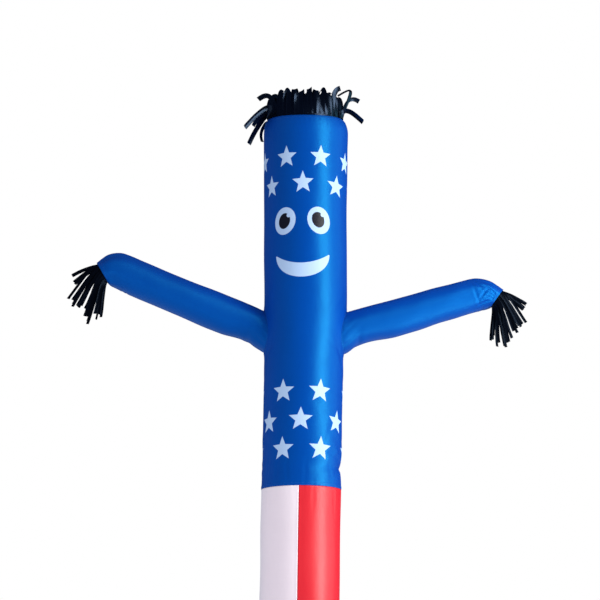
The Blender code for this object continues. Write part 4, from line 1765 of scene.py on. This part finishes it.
@dataclass(frozen=True)
class Ribbons:
    """Many ribbons at once, each on a cubic route, with its width and its twist."""

    routes: Array  # four points each
    along: Array  # the direction of the strip at each root
    width: float
    twist: Array  # in degrees
    kind: float  # picks the run of uneven numbers
    steps: int = 24
    thickness: float = 0.0006
    thinning: float = 0.45  # at the edges, as a share of the thickness
    across_points: int = 5
    twist_pace: float = 1.6  # the twist is full at 1 / this of the length
    cup: Pair = (0.10, 0.16)  # depth over half width: at the root, and what the tip adds on average
    ripple: float = 0.0007
    ripple_count: float = 2.2
    width_spread: float = 0.05  # from ribbon to ribbon
    width_waver: float = 0.025  # along a ribbon
    cut_slant: float = 0.25  # of the cut ends
    cloth_step: float = 0.37  # from ribbon to ribbon on the cloth map, so that no two look alike

    def sections(self) -> tuple[Array, Array, Array]:
        """Points, width directions and face directions along every ribbon.

        A width direction starts along the strip. From step to step it is turned by the least
        rotation that takes the last heading to the next one, and then the twist is added.

        Returns:
            Three arrays by ribbon, step and axis.
        """
        t = np.linspace(0.0, 1.0, self.steps + 1)[None, :, None]
        a, b, c, d = (self.routes[:, k, None, :] for k in range(4))
        middles = a * (1 - t) ** 3 + b * 3 * t * (1 - t) ** 2 + c * 3 * t**2 * (1 - t) + d * t**3
        headings = normalised(np.gradient(middles, axis=1))
        side = self.along - headings[:, 0] * (self.along * headings[:, 0]).sum(-1, keepdims=True)
        sides = [normalised(side)]
        for i in range(self.steps):
            one, two = headings[:, i], headings[:, i + 1]
            axis = np.cross(one, two)
            cosine = (one * two).sum(-1, keepdims=True)
            last = sides[-1]
            turned = last * cosine + np.cross(axis, last)
            turned += axis * (axis * last).sum(-1, keepdims=True) / (1 + cosine)
            sides.append(normalised(turned))
        sides = np.stack(sides, axis=1)
        faces = np.cross(headings, sides)
        turn = np.radians(self.twist)[:, None, None] * np.sin(
            np.minimum(t * self.twist_pace, 1.0) * math.pi / 2
        )
        width = sides * np.cos(turn) + faces * np.sin(turn)
        return middles, width, np.cross(headings, width)

    def surface(self) -> Surface:
        """The ribbons: a thin lens-shaped section, cupped by 1 - q^2, carried along each route.

        q goes from -1 to 1 across a ribbon. The cup deepens, and a ripple grows, to the tip.

        Returns:
            All the ribbons as one surface with closed ends.
        """
        middles, width, face = self.sections()
        count = len(middles)
        t = np.linspace(0.0, 1.0, self.steps + 1)
        place = np.arange(count)
        q = np.linspace(-1.0, 1.0, self.across_points)
        cupped, shifted, wide, slanted = (unevenness(place, self.kind + k)[:, None] for k in (1, 2, 3, 4))
        cup = self.cup[0] + self.cup[1] * t * (1 + cupped)
        ripple = self.ripple * t**1.5 * np.sin(2 * math.pi * (self.ripple_count * t + shifted))
        half = self.width / 2 * (1 + self.width_spread * wide)
        half = half * (1 + self.width_waver * np.sin(9 * t + place[:, None]))
        edge = self.thickness / 2 * (1 - self.thinning * np.abs(q) ** 3)
        bow = (cup * half)[..., None] * (1 - q**2) + ripple[..., None]
        outer, inner = bow + edge, bow - edge
        slant = (self.cut_slant * slanted * (t == 1.0))[..., None]
        heading = np.cross(width, face)
        profile = []
        for offset, ends in ((outer, q), (inner[..., ::-1], q[::-1])):
            profile.append(
                middles[:, :, None]
                + width[:, :, None] * (half[..., None] * ends)[..., None]
                + face[:, :, None] * offset[..., None]
                + heading[:, :, None] * (half[..., None] * ends * slant)[..., None]
            )
        points = np.concatenate(profile, axis=2)
        rows, columns = points.shape[1:3]
        caps = [(k, k + 1, columns - 2 - k, columns - 1 - k) for k in range(self.across_points - 1)]
        top = (rows - 1) * columns
        ends = [*caps, *((top + d, top + c, top + b, top + a) for a, b, c, d in caps)]
        one = np.concatenate((grid_faces(rows, columns, closed=True)[:, ::-1], np.array(ends)))
        faces = repeated(one, count, rows * columns)
        flat = np.empty((count, rows, columns, 2))
        flat[..., 0] = half[..., None] * np.concatenate((q, q[::-1]))
        flat[..., 1] = run_along(middles)[..., None] + place[:, None, None] * self.cloth_step
        return Surface(points.reshape(-1, 3), faces, {"cloth": flat.reshape(-1, 2)[faces]})


def strip_band(outer: Array, inner: Array, axis: Array, height: float) -> Surface:
    """A closed band: four points a section, carried round a ring.

    Args:
        outer: Points round the band's outer face, at its upper edge.
        inner: Points round its inner face.
        axis: The direction from its lower to its upper edge.
        height: Its height.

    Returns:
        The band as a surface.
    """
    down = axis * height
    ring = np.stack((outer - down, outer, inner, inner - down))
    count = len(outer)
    faces = grid_faces(5, count, closed=True) % (4 * count)  # the fifth ring is the first one again
    across = np.array((0.0, 0.4, 0.6, 1.0))[:, None] * height * 0.1
    flat = np.stack(np.broadcast_arrays(across, run_along(outer)), axis=-1)
    return Surface(ring.reshape(-1, 3), faces, {"cloth": flat.reshape(-1, 2)[faces]})


@dataclass
class Fringe:
    """What the hair and the hands share: a strip with ribbons on its edge, made as one piece."""

    name: str
    node: str
    finish: RibbonFinish = field(default=HAND_RIBBON, kw_only=True)
    piece: bpy.types.Object | None = field(default=None, kw_only=True)

    def parts(self) -> tuple[Surface, Ribbons]:
        """The strip and the ribbons."""
        raise NotImplementedError

    def build(self) -> None:
        """Make the piece."""
        strip, ribbons = self.parts()
        self.piece = make_object(self.name, strip.joined(ribbons.surface()), sharp=70.0)
        LOG.info("%s: %d ribbons", self.name, len(ribbons.routes))

    def dress(self) -> None:
        """Give the ribbons their finish."""
        self.piece.data.materials.append(self.finish.make())

    def declare(self) -> None:
        """Attach the piece to the body and hide the imported part that it replaces."""
        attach(self.piece, BODY)
        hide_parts(self.node)


@dataclass
class HairFringe(Fringe):
    """The hair: ribbons that rise from a strip inside the rim, and fold over or fly out."""

    count: int = 54
    radius: float = 0.1384
    strip_height: float = 0.010
    width: float = 0.0190
    layer: float = 0.0009
    tall: Pair = (0.0957, 0.057)  # height and reach inwards of every second ribbon
    short: Pair = (0.0835, 0.030)  # and of the ones between
    uneven: Point = (0.09, 0.003, 0.002)  # share of the height, reach, and lean outwards
    sway: Pair = (0.0010, 1.1)  # distance, and angle from ribbon to ribbon
    rising: Point = (0.70, 1.50, 0.62)  # shares of the height at the route's later points
    folding: float = 0.35  # share of the reach at the route's third point
    drift: float = 0.2  # share of a flyer's way along the strip at its third point
    twist: Pair = (40.0, 0.7)  # uneven degrees, and share of the turn away from the viewer

    def parts(self) -> tuple[Surface, Ribbons]:
        """Routes as the frame's solids have them: up, over a fold, and down to a tip.

        With height h and reach r a ribbon's four points are its root, root + 0.70 h up, root + 1.50 h up
        - 0.35 r out, and root + 0.62 h up - r out, give or take its lean and sway. A flyer has its own.

        Returns:
            The strip and the ribbons.
        """
        middle = np.array((TUBE[-1, 1], 0.0, TUBE_HEIGHT))
        places = np.arange(-self.count // 2, self.count // 2)
        turn = 2 * math.pi * places / self.count
        out = outward(turn)
        along = np.stack((np.cos(turn), np.sin(turn), np.zeros_like(turn)), axis=-1)
        up = np.array((0.0, 0.0, 1.0))
        is_tall = (places % 2).astype(bool)
        root = middle + out * (self.radius + np.where(is_tall, -self.layer, self.layer))[:, None]
        height, reach = (np.where(is_tall, *pair) for pair in zip(self.tall, self.short))
        height = height * (1 + self.uneven[0] * unevenness(places, 1))
        reach = reach + self.uneven[1] * unevenness(places, 2)
        lean = self.uneven[2] * unevenness(places, 3)
        sway = along * (self.sway[0] * np.sin(self.sway[1] * places))[:, None]
        at_rise, at_over, at_tip = (up * (height * share)[:, None] for share in self.rising)
        rise = root + at_rise + out * lean[:, None]
        over = root + sway + at_over - out * (reach * self.folding)[:, None]
        tip = root + sway + at_tip - out * reach[:, None]
        away = np.degrees(np.arctan(np.tan(turn)))
        twist = self.twist[0] * unevenness(places, 5) - self.twist[1] * away
        for place, flyer in HAIR_FLYERS.items():
            k = place + self.count // 2
            rise_up, over_out, over_up, tip_out, tip_along, tip_up, twist[k] = flyer
            rise[k] = root[k] + up * rise_up
            over[k] = root[k] + out[k] * over_out + up * over_up + along[k] * tip_along * self.drift
            tip[k] = root[k] + out[k] * tip_out + along[k] * tip_along + up * tip_up
        routes = np.stack((root, rise, over, tip), axis=1)
        ribbons = Ribbons(routes, along, self.width, twist, kind=21.0)
        way = outward(np.linspace(0, 2 * math.pi, 4 * self.count + 1)[:-1])
        outer, inner = (middle + way * (self.radius + s * STRIP / 2) for s in (1, -1))
        return strip_band(outer, inner, up, self.strip_height), ribbons


@dataclass
class HandFringe(Fringe):
    """A hand: ribbons in locks that hang from a strip inside a sleeve's mouth."""

    sleeve: Sleeve
    locks: Array
    count: int = 22
    columns: int = 96  # points round the strip
    strip_height: float = 0.007
    width: float = 0.0108
    layer: float = 0.004
    spread: float = 0.30
    shortening: float = 0.06  # the most by which a ribbon is shorter, as a share
    leaving: Pair = (0.26, 0.08)  # share of the length straight out, and how much less low down
    bending: Pair = (0.62, 0.04)  # the third point: share of the way to the tip, and height over it
    twist: Pair = (18.0, 0.75)  # uneven degrees, and share of the turn towards the viewer

    def parts(self) -> tuple[Surface, Ribbons]:
        """Routes as the frame's solids have them: out of the mouth, over, and down in locks.

        With length l a ribbon's four points are its root, root + (0.26 - 0.08 down) l out of the mouth,
        a point 0.62 of the way to the tip and 0.04 l above it, and the tip in its lock's direction.

        Returns:
            The strip and the ribbons.
        """
        side = self.sleeve.sign
        mouth = self.sleeve.mouth()
        axis = np.cross(mouth.up, mouth.across)
        place = np.arange(self.count)
        turn = 2 * math.pi * (place + 0.5) / self.count
        root = mouth.at(turn, STRIP / 2)
        along = normalised(mouth.at(turn + 0.01, STRIP / 2) - mouth.at(turn - 0.01, STRIP / 2))
        down = (1 - np.cos(turn)) / 2
        lock = self.locks[np.searchsorted(self.locks[:, 0], down, side="right") - 1]
        length = lock[:, 2] * (1 - self.shortening * (1 - unevenness(place, 9 + side)))
        slope = np.radians(lock[:, 1])
        way = np.stack((side * np.cos(slope), np.zeros_like(slope), -np.sin(slope)), axis=-1)
        outwards = mouth.at(turn, 0.0) - mouth.at(turn, STRIP)
        layer = normalised(outwards - way * (outwards * way).sum(-1, keepdims=True)) * self.layer
        layer = layer * np.where(np.minimum(place, self.count - 1 - place) % 2, -1.0, 1.0)[:, None]
        spread = np.zeros_like(root)
        spread[:, 1] = (root[:, 1] - mouth.middle[1]) * self.spread
        tip = root + way * length[:, None] + layer + spread
        leaving = self.leaving[0] - self.leaving[1] * down
        rise = root + axis * (length * leaving)[:, None] + layer
        bend = root + (tip - root) * self.bending[0]
        bend[:, 2] += self.bending[1] * length
        facing = np.degrees(np.arctan(np.cos(turn) / np.sin(turn)))
        twist = self.twist[0] * unevenness(place, 12 + side) + self.twist[1] * facing
        routes = np.stack((root, rise, bend, tip), axis=1)
        ribbons = Ribbons(routes, along, self.width, twist, kind=40.0 + side)
        around = np.linspace(0, 2 * math.pi, self.columns + 1)[:-1]
        strip = strip_band(mouth.at(around, 0.0), mouth.at(around, STRIP), axis, self.strip_height)
        return strip, ribbons


# ---------------------------------------------------------------- studio


@dataclass(frozen=True)
class Softbox:
    """A rectangular light that faces a place on the vertical through the origin."""

    name: str
    at: Point
    facing: float  # that place's height
    size: Pair  # width and height
    power: float  # in watts
    colour: Colour
    lean: float = 0.0  # how far its upper end leans to one side, in degrees
    mirrored: bool = True

    def build(self, receivers: bpy.types.Collection) -> None:
        """Make the light, on the things that a collection of receivers doesn't leave out.

        Args:
            receivers: Collection that says what isn't lit.
        """
        data = bpy.data.lights.new(self.name, "AREA")
        data.shape = "RECTANGLE"
        data.size, data.size_y = self.size
        data.energy = self.power
        data.color = self.colour
        light = bpy.data.objects.new(self.name, data)
        bpy.context.scene.collection.objects.link(light)
        light.location = self.at
        light.rotation_mode = "QUATERNION"
        upright = (Vector((0.0, 0.0, self.facing)) - Vector(self.at)).to_track_quat("-Z", "Y")
        light.rotation_quaternion = upright @ Quaternion((0.0, 0.0, 1.0), math.radians(self.lean))
        light.light_linking.receiver_collection = receivers
        light.visible_glossy = self.mirrored


SOFTBOXES = (
    # a tall one at the right, a wide one beside it, and a low weak one at the left
    Softbox("key_softbox", (1.62, -1.00, 2.22), 2.22, (0.63, 3.9), 62.0, (1.0, 1.0, 0.98), lean=14.0),
    Softbox("side_softbox", (3.2, 0.3, 2.1), 2.1, (2.0, 4.0), 26.0, (0.35, 0.93, 1.0)),
    Softbox("low_softbox", (-1.7, -2.5, 1.0), 1.6, (1.4, 1.2), 29.0, (1.0, 1.0, 1.0), mirrored=False),
)


@dataclass
class Studio:
    """The floor, the lights and the camera, none of which is part of the object."""

    camera_at: Point = (0.0115, -8.5, 0.9)
    camera_pitch: float = math.radians(99.9)
    camera_lens: float = 142.02
    sensor: float = 36.0
    floor_half: float = 9.0
    floor_drop: float = 0.0006
    fill: Colour = (0.50, 0.53, 0.61)
    mirrored: Colour = (0.010, 0.032, 0.085)
    backdrop: Colour = (1.0, 1.0, 1.0)
    floor_only: bpy.types.Collection = field(
        default_factory=lambda: bpy.data.collections.new("floor_only")
    )

    def floor(self) -> None:
        """A plain pale floor just below the base hem."""
        h = self.floor_half
        points = np.array(((-h, -h, 0.0), (h, -h, 0.0), (h, h, 0.0), (-h, h, 0.0)))
        points = points - (0, 0, self.floor_drop)
        floor = make_object("studio_floor", Surface(points, np.array(((0, 1, 2, 3),))))
        floor.data.materials.append(FloorFinish().make())
        self.floor_only.objects.link(floor)
        self.floor_only.collection_objects[0].light_linking.link_state = "EXCLUDE"

    def lights(self) -> None:
        """The softboxes, which stand close to the floor and light all but the floor."""
        for softbox in SOFTBOXES:
            softbox.build(self.floor_only)

    def surround(self) -> None:
        """A white backdrop, dimmer as a source of light, and almost dark in mirrored rays."""
        world = bpy.data.worlds.new("pale_surround")
        bpy.context.scene.world = world
        world.use_nodes = True
        tree = world.node_tree
        seen = tree.nodes.new("ShaderNodeLightPath")
        light = mix_colours(tree, self.fill, self.mirrored, seen.outputs["Is Glossy Ray"])
        light = mix_colours(tree, light, self.backdrop, seen.outputs["Is Camera Ray"])
        tree.links.new(light, tree.nodes["Background"].inputs["Color"])

    def camera(self) -> None:
        """A long lens in front, a little below the middle, looking up."""
        data = bpy.data.cameras.new("camera")
        data.lens = self.camera_lens
        data.sensor_width = self.sensor
        data.clip_end = 100.0
        camera = bpy.data.objects.new("camera", data)
        camera.location = self.camera_at
        camera.rotation_euler = (self.camera_pitch, 0.0, 0.0)
        bpy.context.scene.collection.objects.link(camera)
        bpy.context.scene.camera = camera

    def build(self) -> None:
        """Set everything up."""
        self.camera()
        self.floor()
        self.lights()
        self.surround()
        bpy.context.scene.view_settings.view_transform = "Standard"


# ---------------------------------------------------------------- the whole


def main() -> None:
    """Build the dancer piece by piece, and the studio round it."""
    logging.basicConfig(level=logging.INFO, format="%(message)s")
    Studio().build()
    tube = TubeShape()
    left = Sleeve(Side.LEFT, LEFT_SECTIONS, LEFT_FOLDS, label="left_sleeve", tube=tube)
    right = Sleeve(Side.RIGHT, RIGHT_SECTIONS, RIGHT_FOLDS, label="right_sleeve", tube=tube)
    torso = Torso((left, right), label="torso", tube=tube, finish=BLUE_PRINT)
    white, red = (
        LegPanel(
            colour,
            first_turn,
            label=f"{colour}_leg",
            tube=tube,
            finish=finish,
            thread=thread,
            slot=f"{colour}_cloth",
        )
        for colour, first_turn, finish, thread in (
            ("white", FRONT_SEAM_TURN - math.pi, WHITE_NYLON, WHITE_THREAD),
            ("red", FRONT_SEAM_TURN, RED_NYLON, RED_THREAD),
        )
    )
    hair = HairFringe("hair_ribbons", "hair_fringe", finish=HAIR_RIBBON)
    left_hand = HandFringe("left_hand_ribbons", "hand_fringe_left", left, LEFT_LOCKS)
    right_hand = HandFringe("right_hand_ribbons", "hand_fringe_right", right, RIGHT_LOCKS)
    for part in (torso, white, red, left, right, hair, left_hand, right_hand):
        part.build()
        part.dress()
        LOG.info("%s: %d faces", part.piece.name, len(part.piece.data.polygons))
    for fringe in (hair, left_hand, right_hand):
        fringe.declare()
    white.declare()
    red.declare()
    torso.declare(hair.piece)
    left.declare(left_hand.piece)
    right.declare(right_hand.piece)


if __name__ == "__main__":
    main()
